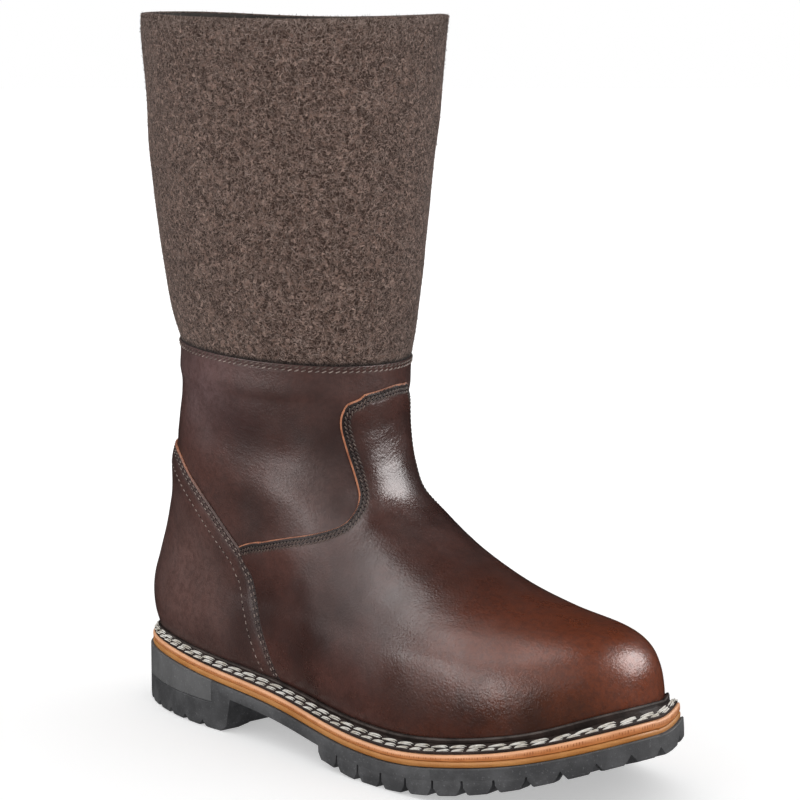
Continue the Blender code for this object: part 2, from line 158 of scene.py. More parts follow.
# Rows of stitches: where there are two plies they wind round each other
Row = namedtuple("Row", "pitch length radius plies slant sink rise")
WELT_LONG = Row(9.4, 8.3, 0.36, 2, 0.6, -0.35, 0.46)
WELT_SHORT = Row(7.4, 6.3, 0.32, 2, 0.7, -0.35, 0.34)
SEAM_FINE = Row(2.0, 2.3, 0.27, 1, 1.3, -0.25, 0.14)
SEAM_DOTS = Row(3.1, 1.9, 0.22, 1, 0.2, -0.3, 0.13)
SEAM_FELT = Row(3.0, 2.1, 0.29, 1, 0.9, -0.25, 0.2)
PLY_TURN = 0.16
PLY_SPACING = 1.2
PLY_UNEVEN = 0.4
PLY_BEAT = 2.1
THREAD_SIDES = 6
THREAD_BLUNT = 3.5
THREAD_END = 0.03
STITCH_ARCH = 0.35
HOLE_SIDES = 8
HOLE_RADIUS = 0.42
HOLE_PROUD = 0.05
HOLE_DEPTH = 0.3
WELT_STITCH_SINK = 0.25
WELT_STITCH_TILT = 0.55
PATH_SPACING = 0.5

# Leather and felt
UPPER_WALL = 2.2
OVERLAY_GAP = 0.3
VAMP_LEATHER = 1.5
COUNTER_LEATHER = 1.9
FELT = 4.5
SEAM_ROW = 13.0
COLLAR_ROW = 16.0
LEATHER_TOP_ROW = 13.06
HEM_ROW = 12.3
OVERLAY_HEM_ROW = 0.14
RAW_WIDTH = 0.65
SKIVE = 0.4
SKIVE_REACH = 4.0
SEAM_PRESS = 0.25
SEAM_PRESS_REACH = 4.5
BULGE = 0.08
BULGE_PLACE = 9.0
BULGE_REACH = 4.0
CHANNEL_DEPTH = 0.12
CHANNEL_REACH = 0.5
RAW_MARGIN = 0.10
VAMP_ROWS = (2.3, 4.0)
COUNTER_ROWS = (1.5, 3.1, 9.2)
FELT_SEAM_ROWS = (0.75, 2.1)
FELT_SEAM_PRESS = 0.15
FELT_SEAM_REACH = 0.45
FELT_SEAM_PROUD = 0.05
FAR_FROM_EDGE = 20.0
FAR_FROM_SEAM = 50.0
TOP_PRESS = 1.9
TOP_PRESS_REACH = 18.0
FELT_TUCK = 2.0
FELT_TUCK_REACH = 6.5
FELT_SINK = 0.2
FELT_HEM_SINK = 0.6
LINING_SINK = 0.4
LINING_FADE = 8
RIM_STEPS = 9
COLLAR_PEAK = 2.46
COLLAR_BUMP = 3.4
FELT_WAVES = ((0.35, 3, 0.031, 0.4), (0.25, 5, -0.052, 1.9), (0.18, 9, 0.11, 2.7), (0.12, 14, -0.17, 0.9))
FIBRE_COUNT = 26000
FIBRE_LENGTH = (1.0, 3.2)
FIBRE_WIDTH = (0.16, 0.40)
FIBRE_LIFT = (0.02, 0.20)
STRAY_LIFT = 0.5
FIBRE_CURL = 0.8

# How finely the leather and the felt are divided: angles round the boot, rows up it, and lines along an edge
UPPER_STEPS = 300
SEARCH_STEPS = 500
SEARCH_ROUNDS = 8
SEARCH_SHARE = 0.8
SMOOTH_STEPS = 24
INSET_STEP = 0.4
EDGE_SPACING = 0.8
FINE_SPACING = 0.3
HEM_STEP = 0.02
EDGE_LINES = (0.25, RAW_WIDTH, 1.0, 1.5, 2.0, 2.6, 3.2, 3.8, 4.4, 5.2)
GRID_CLEAR = 0.5
RIM_CLEAR = 0.17
LINE_SHARE = 0.93
OVERLAY_ANGLE = 0.022
OVERLAY_ROWS = 0.13
FLAT_SCALE = np.array([75.0, 9.0])
QUARTER_ROWS = np.concatenate([np.linspace(0.0, 6.0, 16), np.linspace(6.15, 12.8, 62)])
BELOW_TOP = np.array([8.0, 5.5, 4.0, 3.2, 2.75, 2.3, 1.85, 1.5, 1.2, 0.9])
TOP_RIM = ((0.5, 0.02), (0.2, 0.08), (0.04, 0.16), (0.0, 0.28))
RIM_ROW = 15.93
RIM_ROWS = 0.07
FELT_ROWS = np.concatenate([np.linspace(13.05, 13.4, 12), np.linspace(13.45, RIM_ROW, 80)])
FELT_HEM_ROWS = (HEM_ROW, 13.03)
LINING_ROWS = np.concatenate([np.linspace(RIM_ROW, 13.0, 30), [HEM_ROW]])

# How the sole's tip tucks in and rises past the big toe
TIP_START = 255.0
TIP_TUCK = 2.2
TIP_LEAN = 0.10
TIP_LIFT = 5.6
TIP_LIFT_Y = 2.0
TIP_LIFT_WIDTH = 26.0
TIP_DROP = 2.6
DROP_START = 230.0

# The last, as plan outlines and sections from the feather edge up to the collar
Plan = namedtuple("Plan", "back_x front_x lateral medial peak waist_lat waist_med tail nose sway")
SOLE_PLAN = Plan(0.0, SOLE_LENGTH, 55.5, 53.0, 0.67, 9.0, 19.5, 2.3, 2.1, 1.5)
WAIST_PLACE = 0.38
WAIST_REACH = 0.16
Section = namedtuple("Section", Plan._fields + ("back_z", "front_z", "sag"))
SECTIONS = (
    #       back_x front_x lat   med   peak  waists     tail  nose  sway back_z front_z sag
    Section(7.0, 295.0, 45.0, 44.0, 0.67, 9.0, 17.0, 2.30, 2.10, 4.0, 31.7, 35.7, 1.00),
    Section(3.0, 294.0, 47.5, 46.0, 0.66, 8.0, 14.0, 2.30, 2.10, 4.0, 41.0, 47.0, 0.90),
    Section(1.5, 292.0, 47.5, 45.5, 0.65, 7.0, 11.0, 2.30, 2.10, 4.0, 50.0, 56.0, 0.75),
    Section(2.0, 287.0, 45.5, 44.0, 0.64, 5.5, 8.0, 2.30, 2.10, 4.0, 58.0, 63.0, 0.60),
    Section(5.0, 277.0, 42.0, 41.0, 0.60, 4.0, 5.0, 2.35, 2.10, 4.0, 66.0, 67.5, 0.45),
    Section(8.5, 254.5, 39.5, 38.0, 0.57, 2.0, 2.5, 2.40, 2.10, 4.0, 74.0, 70.0, 0.30),
    Section(12.5, 227.5, 38.5, 37.0, 0.53, 0.5, 0.5, 2.40, 2.05, 4.0, 82.0, 75.5, 0.20),
    Section(17.0, 199.5, 39.0, 38.0, 0.50, 0.0, 0.0, 2.35, 2.00, 4.0, 92.0, 84.5, 0.10),
    Section(21.5, 175.0, 40.0, 39.5, 0.49, 0.0, 0.0, 2.30, 2.00, 3.5, 103.0, 95.5, 0.00),
    Section(24.5, 157.0, 41.5, 41.0, 0.48, 0.0, 0.0, 2.20, 2.00, 3.0, 115.0, 108.0, 0.00),
    Section(27.0, 149.0, 42.5, 42.5, 0.48, 0.0, 0.0, 2.10, 2.00, 2.0, 126.0, 121.5, 0.00),
    Section(29.5, 145.0, 43.5, 43.5, 0.48, 0.0, 0.0, 2.05, 2.00, 1.0, 138.0, 136.5, 0.00),
    Section(31.0, 144.5, 44.5, 45.0, 0.49, 0.0, 0.0, 2.00, 2.00, 0.0, 153.0, 149.5, 0.00),
    Section(28.5, 146.0, 48.0, 47.5, 0.50, 0.0, 0.0, 2.00, 2.00, 0.0, 171.0, 164.0, 0.00),
    Section(17.5, 155.0, 56.5, 56.0, 0.50, 0.0, 0.0, 2.00, 2.00, 0.0, 243.0, 240.5, 0.00),
    Section(12.5, 160.5, 61.5, 61.0, 0.50, 0.0, 0.0, 2.00, 2.00, 0.0, 303.0, 302.0, 0.00),
    Section(12.0, 162.0, 61.5, 61.5, 0.50, 0.0, 0.0, 2.00, 2.00, 0.0, 317.0, 317.0, 0.00),
)

# Side views of the overlay edges as (x, z): the counter's from its top down to the sole, with the corner
# where the vamp starts, and the vamp's from that corner up to the front
COUNTER_TOP_Z = 124.5
COUNTER_EDGE = ((43.5, 123.0), (61.0, 111.5), (77.0, 98.0), (92.0, 84.5), (98.0, 75.5), (102.5, 65.0),
                (106.5, 55.0), (110.5, 45.0), (116.0, 32.0))
COUNTER_CORNER = 3
VAMP_EDGE = ((105.0, 88.3), (122.0, 92.2), (136.0, 95.3), (143.5, 97.7), (147.3, 99.8), (148.8, 103.4),
             (148.2, 108.1), (146.4, 113.1), (142.9, 122.1), (139.8, 131.8), (138.2, 140.5), (138.6, 146.1),
             (140.5, 151.2), (143.3, 154.2))
VAMP_INNER = VAMP_EDGE[:5] + ((148.6, 103.4), (147.6, 108.1), (145.0, 113.1), (139.8, 122.1), (135.6, 131.8),
                              (133.6, 140.5), (133.8, 146.5), (135.4, 151.5))
VAMP_TOP = ((11.2, 155.0), (5.2, 155.8), (-1.7, 156.8), (-9.8, 157.6), (-17.0, 157.3), (-25.0, 156.0))

# Creases of the worn-in leather: soft troughs along listed paths on the boot's outside
Crease = namedtuple("Crease", "width depth path")
CREASES = (
    Crease(8.5, 1.25, ((80, -46, 136), (92, -45, 133), (106, -41, 130), (117, -37, 129))),
    Crease(6.0, 0.3, ((96, -43, 122), (112, -40, 119), (126, -34, 120))),
    Crease(9.0, -0.9, ((116, -40, 110), (128, -34, 110), (138, -28, 109))),
    Crease(8.0, 1.0, ((78, 45, 146), (95, 45, 141), (112, 41, 136))),
    Crease(9.0, -0.7, ((116, 40, 110), (134, 30, 110))),
    Crease(10.0, 0.6, ((112, -39, 80), (130, -38, 82), (148, -36, 83), (160, -34, 84))),
    Crease(9.0, 0.8, ((112, 39, 80), (130, 38, 82), (150, 36, 83))),
    Crease(3.0, 0.14, ((143, -15, 127), (147, -3, 132), (145, 10, 136))),
    Crease(2.6, 0.12, ((147, -12, 121), (149, 0, 126), (147, 12, 130))),
    Crease(2.4, 0.12, ((144, -13, 136), (146, -2, 140), (144, 10, 143))),
    Crease(2.2, 0.22, ((160, -38, 72), (164, -33, 81), (166, -27, 90))),
    Crease(2.0, 0.20, ((167, -37, 72), (169, -32, 81), (171, -26, 88))),
    Crease(2.2, 0.20, ((160, 37, 73), (165, 32, 82), (167, 26, 90))),
)
RIDGE_SHARE = 0.35
RIDGE_PLACE = 1.9
BACK_FILL_Z = (98.0, 116.0, 130.0, 150.0, 161.0, 170.0)
BACK_FILL = (0.0, 0.9, 1.7, 1.3, 0.3, 0.0)
BACK_FILL_X = 66.0
BACK_FILL_FADE = 34.0


def soft_step(value):
    """A smooth rise from 0 to 1."""
    value = np.clip(value, 0.0, 1.0)
    return value * value * (3.0 - 2.0 * value)


def soft_ramp(x, start):
    """Zero before start and x - start after it, with a soft corner."""
    return WAIST_SOFTNESS * np.logaddexp(0.0, (np.asarray(x, float) - start) / WAIST_SOFTNESS)


def toe_rise(x):
    """Height of the tread above the ground."""
    along = np.clip((np.asarray(x, float) - SPRING_START) / (SOLE_LENGTH - SPRING_START), 0.0, None)
    return TOE_SPRING * along ** SPRING_POWER


def sole_line(x):
    """Underside of the midsoles."""
    slope = (FOREFOOT_HEIGHT - HEEL_HEIGHT) / (WAIST_END - WAIST_START)
    return HEEL_HEIGHT + slope * (soft_ramp(x, WAIST_START) - soft_ramp(x, WAIST_END)) + toe_rise(x)


def feather_line(x):
    """Top of the midsoles, where the upper meets them."""
    return sole_line(x) + 2 * MIDSOLE_LAYER


def edge_top(x):
    """Top of the midsoles' edge, which thickens towards the toe."""
    return feather_line(x) + TOE_THICKEN * soft_step((np.asarray(x, float) - THICKEN_START) / THICKEN_REACH)


def waist_dip(s):
    return np.exp(-((s - WAIST_PLACE) / WAIST_REACH) ** 2)


def grow(plan, margin):
    """The plan with its outline moved out by a margin, or in by a negative one."""
    return plan._replace(back_x=plan.back_x - margin, front_x=plan.front_x + margin,
                         lateral=plan.lateral + margin, medial=plan.medial + margin)


def plan_sides(plan, x):
    """Outer and inner y of a plan outline at x."""
    s = np.clip((np.asarray(x, float) - plan.back_x) / (plan.front_x - plan.back_x), 0.0, 1.0)
    ahead = np.clip((s - plan.peak) / (1.0 - plan.peak), 0.0, 1.0)
    behind = np.clip((plan.peak - s) / plan.peak, 0.0, 1.0)
    fullness = np.where(s >= plan.peak, (1.0 - ahead ** plan.nose) ** (1.0 / plan.nose),
                        (1.0 - behind ** plan.tail) ** (1.0 / plan.tail))
    middle = plan.sway * s ** 2
    outer = middle - fullness * (plan.lateral - plan.waist_lat * waist_dip(s))
    inner = middle + fullness * (plan.medial - plan.waist_med * waist_dip(s))
    return outer, inner


def section_at(row):
    """Section values at row numbers, with a smooth curve through the table's rows."""
    table = np.array(SECTIONS)
    row = np.clip(np.asarray(row, float), 0, len(table) - 1)
    lower = np.minimum(row.astype(int), len(table) - 2)
    f = (row - lower)[..., None]
    before, here = table[np.maximum(lower - 1, 0)], table[lower]
    there, after = table[lower + 1], table[np.minimum(lower + 2, len(table) - 1)]
    bend = 2 * before - 5 * here + 4 * there - after + f * (3 * (here - there) + after - before)
    return Section(*np.moveaxis(here + 0.5 * f * (there - before + f * bend), -1, 0))


def surface(angle, row):
    """Outside of the boot at angles (0 the toe, a quarter turn the outer side) and row numbers."""
    angle, row = np.broadcast_arrays(np.asarray(angle, float), np.asarray(row, float))
    sec = section_at(row)
    cos, sin = np.cos(angle), np.sin(angle)
    power = 2.0 / np.where(cos >= 0, sec.nose, sec.tail)
    along, fullness = np.abs(cos) ** power, np.abs(sin) ** power
    s = np.where(cos >= 0, sec.peak + (1 - sec.peak) * along, sec.peak * (1 - along))
    half = np.where(sin >= 0, sec.lateral - sec.waist_lat * waist_dip(s),
                    sec.medial - sec.waist_med * waist_dip(s))
    x = sec.back_x + (sec.front_x - sec.back_x) * s
    y = sec.sway * s ** 2 - np.sign(sin) * half * fullness
    level = sec.back_z + (sec.front_z - sec.back_z) * s
    back_feather, front_feather = feather_line(sec.back_x), feather_line(sec.front_x)
    arch = feather_line(x) - back_feather - (front_feather - back_feather) * s
    return np.stack([x, y, level + sec.sag * arch], axis=-1)


def unit(vectors):
    return vectors / np.maximum(np.linalg.norm(vectors, axis=-1, keepdims=True), 1e-9)


def slopes(angle, row):
    """How the surface point moves for each radian and each row, and the outward normal."""
    step = 0.002
    above, below = np.clip(row + step, 0, COLLAR_ROW), np.clip(row - step, 0, COLLAR_ROW)
    by_row = (surface(angle, above) - surface(angle, below)) / (above - below)[..., None]
    by_angle = (surface(angle + step, row) - surface(angle - step, row)) / (2 * step)
    return by_angle, by_row, unit(np.cross(by_row, by_angle))


def skin(angle, row, offset):
    """The boot's surface moved along its normals, outwards for a positive offset."""
    angle, row, offset = np.broadcast_arrays(np.asarray(angle, float), np.asarray(row, float), offset)
    return surface(angle, row) + offset[..., None] * slopes(angle, row)[2]


def path_distance(points, path):
    """Distance from each point to a path of straight stretches."""
    path = np.array(path, float)
    best = np.full(points.shape[:-1], np.inf)
    for a, b in zip(path, path[1:]):
        along = np.clip((points - a) @ (b - a) / ((b - a) @ (b - a)), 0.0, 1.0)
        best = np.minimum(best, np.linalg.norm(points - a - along[..., None] * (b - a), axis=-1))
    return best


def crease_height(points):
    """Relief at points of the outside: creases between low ridges, and a fuller back of the ankle."""
    height = np.interp(points[..., 2], BACK_FILL_Z, BACK_FILL)
    height = height * soft_step((BACK_FILL_X - points[..., 0]) / BACK_FILL_FADE)
    for crease in CREASES:
        far = path_distance(points, crease.path) / crease.width
        height -= crease.depth * np.exp(-far ** 2)
        height += RIDGE_SHARE * crease.depth * np.exp(-(far - RIDGE_PLACE) ** 2)
    return height


def smooth_path(points, steps):
    """Points along a smooth curve through a few chosen points."""
    p = np.array([points[0], *points, points[-1]], float)
    path = []
    for a, b, c, d in zip(p, p[1:], p[2:], p[3:]):
        for f in np.arange(steps) / steps:
            path.append(b + 0.5 * f * (c - a + f * (2 * a - 5 * b + 4 * c - d + f * (3 * (b - c) + d - a))))
    return np.array(path + [p[-1]])


def lengths(path):
    """Length along a path at each of its points."""
    return np.concatenate([[0.0], np.cumsum(np.linalg.norm(np.diff(path, axis=0), axis=1))])


def picked(table, length, at):
    """Rows of a table that belongs to a path's points, at chosen lengths along the path."""
    return np.stack([np.interp(at, length, column) for column in table.T], 1)


def evenly(path, spacing):
    """The path again, with points an even distance apart."""
    length = lengths(path)
    return picked(path, length, np.linspace(0.0, length[-1], round(length[-1] / spacing) + 1))


def full_turn(count):
    """Angles round a full turn."""
    return np.linspace(0.0, 2 * math.pi, count, endpoint=False)


def tip_share(x):
    """Zero up to the big toe, rising to one at the sole's tip."""
    return soft_step((x - TIP_START) / (SOLE_LENGTH - TIP_START))


def toe_drop(x):
    """Share of the front's drop at x."""
    return soft_step((x - DROP_START) / (SOLE_LENGTH - DROP_START))


def toe_share(x):
    """Zero along the sides, rising to one at the toe."""
    return soft_step((x - TOE_START) / TOE_REACH)


def tip_rise(x, y):
    """How far the sole's tip rises: a little lower in front, higher towards the inner side."""
    return TIP_LIFT * tip_share(x) * soft_step((y - TIP_LIFT_Y) / TIP_LIFT_WIDTH) - TIP_DROP * toe_drop(x)


def tip_shape(points):
    """The sole's points with its tip drawn in and bent up."""
    points = np.array(points, float)
    x, y, z = np.moveaxis(points, -1, 0)
    rise = tip_rise(x, y)
    points[..., 0] -= tip_share(x) * (TIP_TUCK + TIP_LEAN * (z - toe_rise(x)))
    points[..., 2] += rise
    return points


def breast_slant(points):
    """The heel's points with its breast leaning forwards."""
    points = np.array(points, float)
    ahead = np.clip((points[..., 0] - LIFT_FRONT_X) / (BREAST_X - LIFT_FRONT_X), 0.0, None)
    points[..., 0] += ahead * (BREAST_REACH + BREAST_SLANT * points[..., 2])
    return points


def put(points):
    """Millimetres in the boot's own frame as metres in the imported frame."""
    points = np.asarray(points, float).reshape(-1, 3) * MM
    points[:, 0] += HEEL_BACK
    return points


def new_object(name, data):
    made = bpy.data.objects.new(name, data)
    bpy.context.scene.collection.objects.link(made)
    return made


class Shape:
    """Points and faces of a piece under way, with a material number for each face."""

    def __init__(self):
        self.points, self.faces, self.materials, self.count = [], [], [], 0

    def add(self, points, faces, material=0):
        points = np.asarray(points, float).reshape(-1, 3)
        self.points.append(points)
        self.faces += [[int(k) + self.count for k in face] for face in faces]
        self.materials += [material] * len(faces)
        self.count += len(points)

    def bend(self, function):
        """Every point so far moved by a function."""
        self.points = [function(points) for points in self.points]

    def loft(self, rings, closed=True, wrap=False, flip=False, material=0):
        """Quads between neighbouring rings.  Closed rings join end to start, and wrap joins last to first."""
        rings = np.asarray(rings, float)
        rows, columns = rings.shape[:2]
        r = np.arange(rows if wrap else rows - 1)[:, None]
        c = np.arange(columns if closed else columns - 1)[None, :]
        up, on = (r + 1) % rows, (c + 1) % columns
        quads = np.stack([r * columns + c, up * columns + c, up * columns + on, r * columns + on], -1)
        quads = quads.reshape(-1, 4)
        self.add(rings, quads[:, ::-1] if flip else quads, material)

    def fan(self, ring, flip=False, material=0):
        """A cap over a ring."""
        ring = np.asarray(ring, float)
        count = len(ring)
        faces = [(k, (k + 1) % count, count) for k in range(count)]
        faces = [face[::-1] for face in faces] if flip else faces
        self.add(np.concatenate([ring, ring.mean(0)[None]]), faces, material)

    def piece(self, name, materials, slot, replaces=(), **attributes):
        """The finished piece, riding on the boot, with the solids that it stands for hidden; the slot is not
        used.
        """
        mesh = bpy.data.meshes.new(name)
        mesh.from_pydata(put(np.concatenate(self.points)).tolist(), [], self.faces)
        mesh.polygons.foreach_set("material_index", self.materials)
        for label, values in attributes.items():
            layer = mesh.attributes.new(label, "FLOAT", "POINT")
            layer.data.foreach_set("value", np.asarray(values, np.float32))
        for material in materials:
            mesh.materials.append(material)
        mesh.update()
        mesh.shade_smooth()
        mesh.set_sharp_from_angle(angle=math.radians(SHARP_ANGLE))
        made = new_object(name, mesh)
        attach(made, BODY)
        if replaces:
            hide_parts(*replaces)


class Graph:
    """Short calls that build a material's nodes."""

    def __init__(self, name):
        self.material = bpy.data.materials.new(name)
        self.material.use_nodes = True
        self.tree = self.material.node_tree
        self.shader = self.tree.nodes["Principled BSDF"]
        self.place = self.node("ShaderNodeTexCoord").outputs["Object"]

    def node(self, kind, inputs=None, **settings):
        made = self.tree.nodes.new(kind)
        for key, value in settings.items():
            setattr(made, key, value)
        for key, value in (inputs or {}).items():
            self.set(made.inputs[key], value)
        return made

    def set(self, socket, value):
        if isinstance(value, bpy.types.NodeSocket):
            self.tree.links.new(value, socket)
        elif socket.type == "RGBA" and not np.isscalar(value):
            socket.default_value = (*value, 1.0)
        else:
            socket.default_value = value

    def noise(self, scale, detail=2.0, rough=0.5, vector=None, distortion=0.0):
        inputs = {"Vector": vector or self.place, "Scale": scale, "Detail": detail, "Roughness": rough,
                  "Distortion": distortion}
        return self.node("ShaderNodeTexNoise", inputs).outputs["Fac"]

    def cells(self, scale):
        return self.node("ShaderNodeTexVoronoi", {"Vector": self.place, "Scale": scale}).outputs["Distance"]

    def stretched(self, x, y, z):
        inputs = {"Vector": self.place, "Scale": (x, y, z)}
        return self.node("ShaderNodeMapping", inputs).outputs["Vector"]

    def math(self, operation, a, b=0.0):
        return self.node("ShaderNodeMath", {0: a, 1: b}, operation=operation).outputs[0]

    def times(self, a, b):
        return self.math("MULTIPLY", a, b)

    def plus(self, a, b):
        return self.math("ADD", a, b)

    def band(self, value, low, high, to_low=0.0, to_high=1.0):
        """A value that goes softly from one end to the other between two limits."""
        inputs = {"Value": value, "From Min": low, "From Max": high, "To Min": to_low, "To Max": to_high}
        return self.node("ShaderNodeMapRange", inputs, interpolation_type="SMOOTHSTEP").outputs["Result"]

    def mix(self, factor, a, b):
        made = self.node("ShaderNodeMix", data_type="RGBA")
        for key, value in ((0, factor), (6, a), (7, b)):
            self.set(made.inputs[key], value)
        return made.outputs[2]

    def axis(self, name):
        return self.node("ShaderNodeSeparateXYZ", {0: self.place}).outputs[name]

    def attribute(self, name):
        return self.node("ShaderNodeAttribute", attribute_name=name).outputs["Fac"]

    def near(self, point, radius):
        """One at a point of the boot, falling to zero at a radius."""
        centre = tuple(put(point)[0])
        made = self.node("ShaderNodeVectorMath", {0: self.place, 1: centre}, operation="DISTANCE")
        return self.band(made.outputs["Value"], radius * MM, 0.0)

    def along(self, direction, scale, stretch):
        """Coordinates drawn out along a direction."""
        first = np.array(direction, float) / np.linalg.norm(direction)
        second = unit(np.cross(first, (0.3, 0.5, 0.8)))
        third = np.cross(first, second)
        parts = {}
        for key, axis, size in zip("XYZ", (first, second, third), (scale / stretch, scale, scale)):
            inputs = {0: self.place, 1: tuple(axis * size)}
            made = self.node("ShaderNodeVectorMath", inputs, operation="DOT_PRODUCT")
            parts[key] = made.outputs["Value"]
        return self.node("ShaderNodeCombineXYZ", parts).outputs[0]

    def bump(self, height, strength, distance):
        inputs = {"Height": height, "Strength": strength, "Distance": distance}
        return self.node("ShaderNodeBump", inputs).outputs["Normal"]

    def finish(self, **values):
        for key, value in values.items():
            self.set(self.shader.inputs[key.replace("_", " ")], value)
        return self.material


# Pitch of the wheel marks on the midsoles' edge
WHEEL_PITCH = 1.3

# Fine wrinkles in the leather: place, reach, run of the lines and depth
Wrinkles = namedtuple("Wrinkles", "place reach run depth")
WRINKLES = (
    Wrinkles((98, -43, 134), 32.0, (45, 8, -12), 1.0),
    Wrinkles((116, -39, 126), 26.0, (26, 8, -4), 0.7),
    Wrinkles((146, -2, 134), 22.0, (0, 20, 8), 1.0),
    Wrinkles((164, -33, 80), 20.0, (5, 10, 16), 0.9),
    Wrinkles((100, 43, 138), 34.0, (45, -8, -12), 0.9),
    Wrinkles((164, 33, 80), 20.0, (5, -10, 16), 0.8),
)

# Patches of painted light and shade on the leather: lighter ones are painted sheen and highlights, darker
# ones painted shade in the ankle crease and along the low side of the toe
Tone = namedtuple("Tone", "place reach colour share")
PAINTED_SHEEN_AND_SHADE = (
    # painted sheen high on the outer quarter
    Tone((74, -48, 158), 46.0, (0.170, 0.102, 0.102), 0.9),
    # painted shade in the ankle crease
    Tone((91, -44, 140), 26.0, (0.034, 0.012, 0.011), 0.5),
    Tone((107, -41, 136), 26.0, (0.034, 0.012, 0.011), 0.5),
    # painted highlight on the outer side of the heel counter
    Tone((46, -36, 66), 58.0, (0.160, 0.082, 0.070), 0.9),
    # painted highlight on the quarter by the vamp's corner
    Tone((130, -33, 114), 26.0, (0.110, 0.064, 0.056), 0.5),
    # painted shade along the low outer side of the toe
    Tone((205, -47, 34), 34.0, (0.038, 0.018, 0.014), 0.6),
    Tone((240, -44, 36), 38.0, (0.032, 0.014, 0.011), 0.9),
    Tone((268, -33, 38), 32.0, (0.044, 0.016, 0.009), 0.9),
    Tone((285, -24, 42), 24.0, (0.072, 0.023, 0.011), 0.8),
)

# Places where the wax has worn off and the leather shines less
Dull = namedtuple("Dull", "place reach roughness")
DULL = (
    Dull((232, -33, 66), 18.0, 0.15),
    Dull((246, -30, 65), 20.0, 0.20),
    Dull((263, -24, 65), 20.0, 0.12),
    Dull((148, -37, 85), 26.0, 0.32),
    Dull((161, -43, 67), 28.0, 0.30),
    Dull((180, -46, 55), 22.0, 0.20),
)


def leather(name, dark, light, toe, roughness, edge_darkness):
    """Waxed smooth leather: mottled brown, redder towards the toe, with grain and fine wrinkles, and painted
    sheen and painted shade in patches.
    """
    g = Graph(name)
    cloud = g.band(g.noise(22.0, 4.0, 0.55), 0.35, 0.68)
    colour = g.mix(cloud, dark, light)
    colour = g.mix(g.band(g.axis("X"), 0.020, 0.120), colour, toe)
    uneven = g.band(g.noise(55.0, 4.0, 0.6), 0.25, 0.6, 0.5, 1.0)
    # patches of painted sheen and painted shade, broken up by noise
    for tone in PAINTED_SHEEN_AND_SHADE:
        patch = g.times(g.near(tone.place, tone.reach), uneven)
        colour = g.mix(g.times(patch, tone.share), colour, tone.colour)
    speck = g.band(g.noise(420.0, 5.0, 0.65), 0.42, 0.62)
    colour = g.mix(g.times(speck, 0.35), colour, dark)
    # darker within a few millimetres of the overlay's edge
    edge_darkening = g.band(g.attribute("from_edge"), 1.0, 6.0, edge_darkness, 0.0)
    colour = g.mix(edge_darkening, colour, (0.010, 0.004, 0.003))
    relief = g.times(g.noise(1250.0, 2.0, 0.6), 0.6)
    relief = g.plus(relief, g.times(g.cells(800.0), 0.4))
    for w in WRINKLES:
        lines = g.noise(1.0, 3.0, 0.6, g.along(w.run, 520.0, 5.0), 0.4)
        patch = g.times(g.near(w.place, w.reach), 1.5 * w.depth)
        relief = g.plus(relief, g.times(lines, patch))
    normal = g.bump(relief, 0.40, 0.0004)
    gloss = g.band(g.noise(60.0, 5.0, 0.6), 0.3, 0.7, roughness - 0.05, roughness + 0.07)
    gloss = g.plus(gloss, g.band(g.attribute("from_edge"), 1.5, 6.0, 0.25, 0.0))
    for dull in DULL:
        gloss = g.plus(gloss, g.times(g.near(dull.place, dull.reach), dull.roughness))
    return g.finish(Base_Color=colour, Roughness=gloss, Normal=normal, Specular_IOR_Level=0.42,
                    Coat_Weight=0.03, Coat_Roughness=0.2)


def raw_edge(name):
    """Cut edge of the leather: orange fibres, duller in places."""
    g = Graph(name)
    patches = g.band(g.noise(160.0, 4.0, 0.6), 0.35, 0.65)
    colour = g.mix(patches, (0.30, 0.085, 0.030), (0.52, 0.19, 0.085))
    normal = g.bump(g.noise(2600.0, 3.0), 0.4, 0.0003)
    return g.finish(Base_Color=colour, Roughness=0.75, Normal=normal)


def counter_edge_material(name):
    """Edge of the counter: orange at its top, dark further down."""
    g = Graph(name)
    height = g.band(g.axis("Z"), 0.100, 0.122)
    patches = g.band(g.noise(200.0, 4.0, 0.6), 0.35, 0.65)
    orange = g.mix(patches, (0.26, 0.075, 0.028), (0.46, 0.16, 0.070))
    colour = g.mix(height, (0.075, 0.032, 0.024), orange)
    normal = g.bump(g.noise(2600.0, 3.0), 0.3, 0.0003)
    return g.finish(Base_Color=colour, Roughness=0.55, Normal=normal)


def felt(name):
    """Milled wool: brown with lighter and darker fibres in clumps, and painted shade just above the leather's
    top edge.
    """
    g = Graph(name)
    clumps = g.band(g.noise(430.0, 3.0, 0.6, distortion=1.0), 0.45, 0.63)
    clouds = g.band(g.noise(60.0, 4.0, 0.65), 0.40, 0.62)
    colour = g.mix(clumps, (0.034, 0.019, 0.014), (0.200, 0.126, 0.099))
    colour = g.mix(g.times(clouds, 0.40), colour, (0.040, 0.022, 0.017))
    curls = 0.0
    for size, light in ((330.0, 1.0), (450.0, 1.0), (600.0, 0.9)):
        line = g.math("ABSOLUTE", g.math("SUBTRACT", g.noise(size, 1.0, 0.5, distortion=0.6), 0.5))
        line = g.band(line, 0.030, 0.0, 0.0, light)
        colour = g.mix(line, colour, (0.400, 0.275, 0.226))
        curls = g.plus(line, curls)
    # painted shade on the felt just above the leather's top edge, where it tucks behind the leather
    colour = g.mix(g.band(g.attribute("above_seam"), 0.2, 2.4, 0.9, 0.0), colour, (0.010, 0.006, 0.005))
    relief = g.plus(curls, g.times(clumps, 0.6))
    normal = g.bump(relief, 0.8, 0.0008)
    return g.finish(Base_Color=colour, Roughness=0.95, Normal=normal, Specular_IOR_Level=0.1,
                    Sheen_Weight=0.05, Sheen_Roughness=0.6)


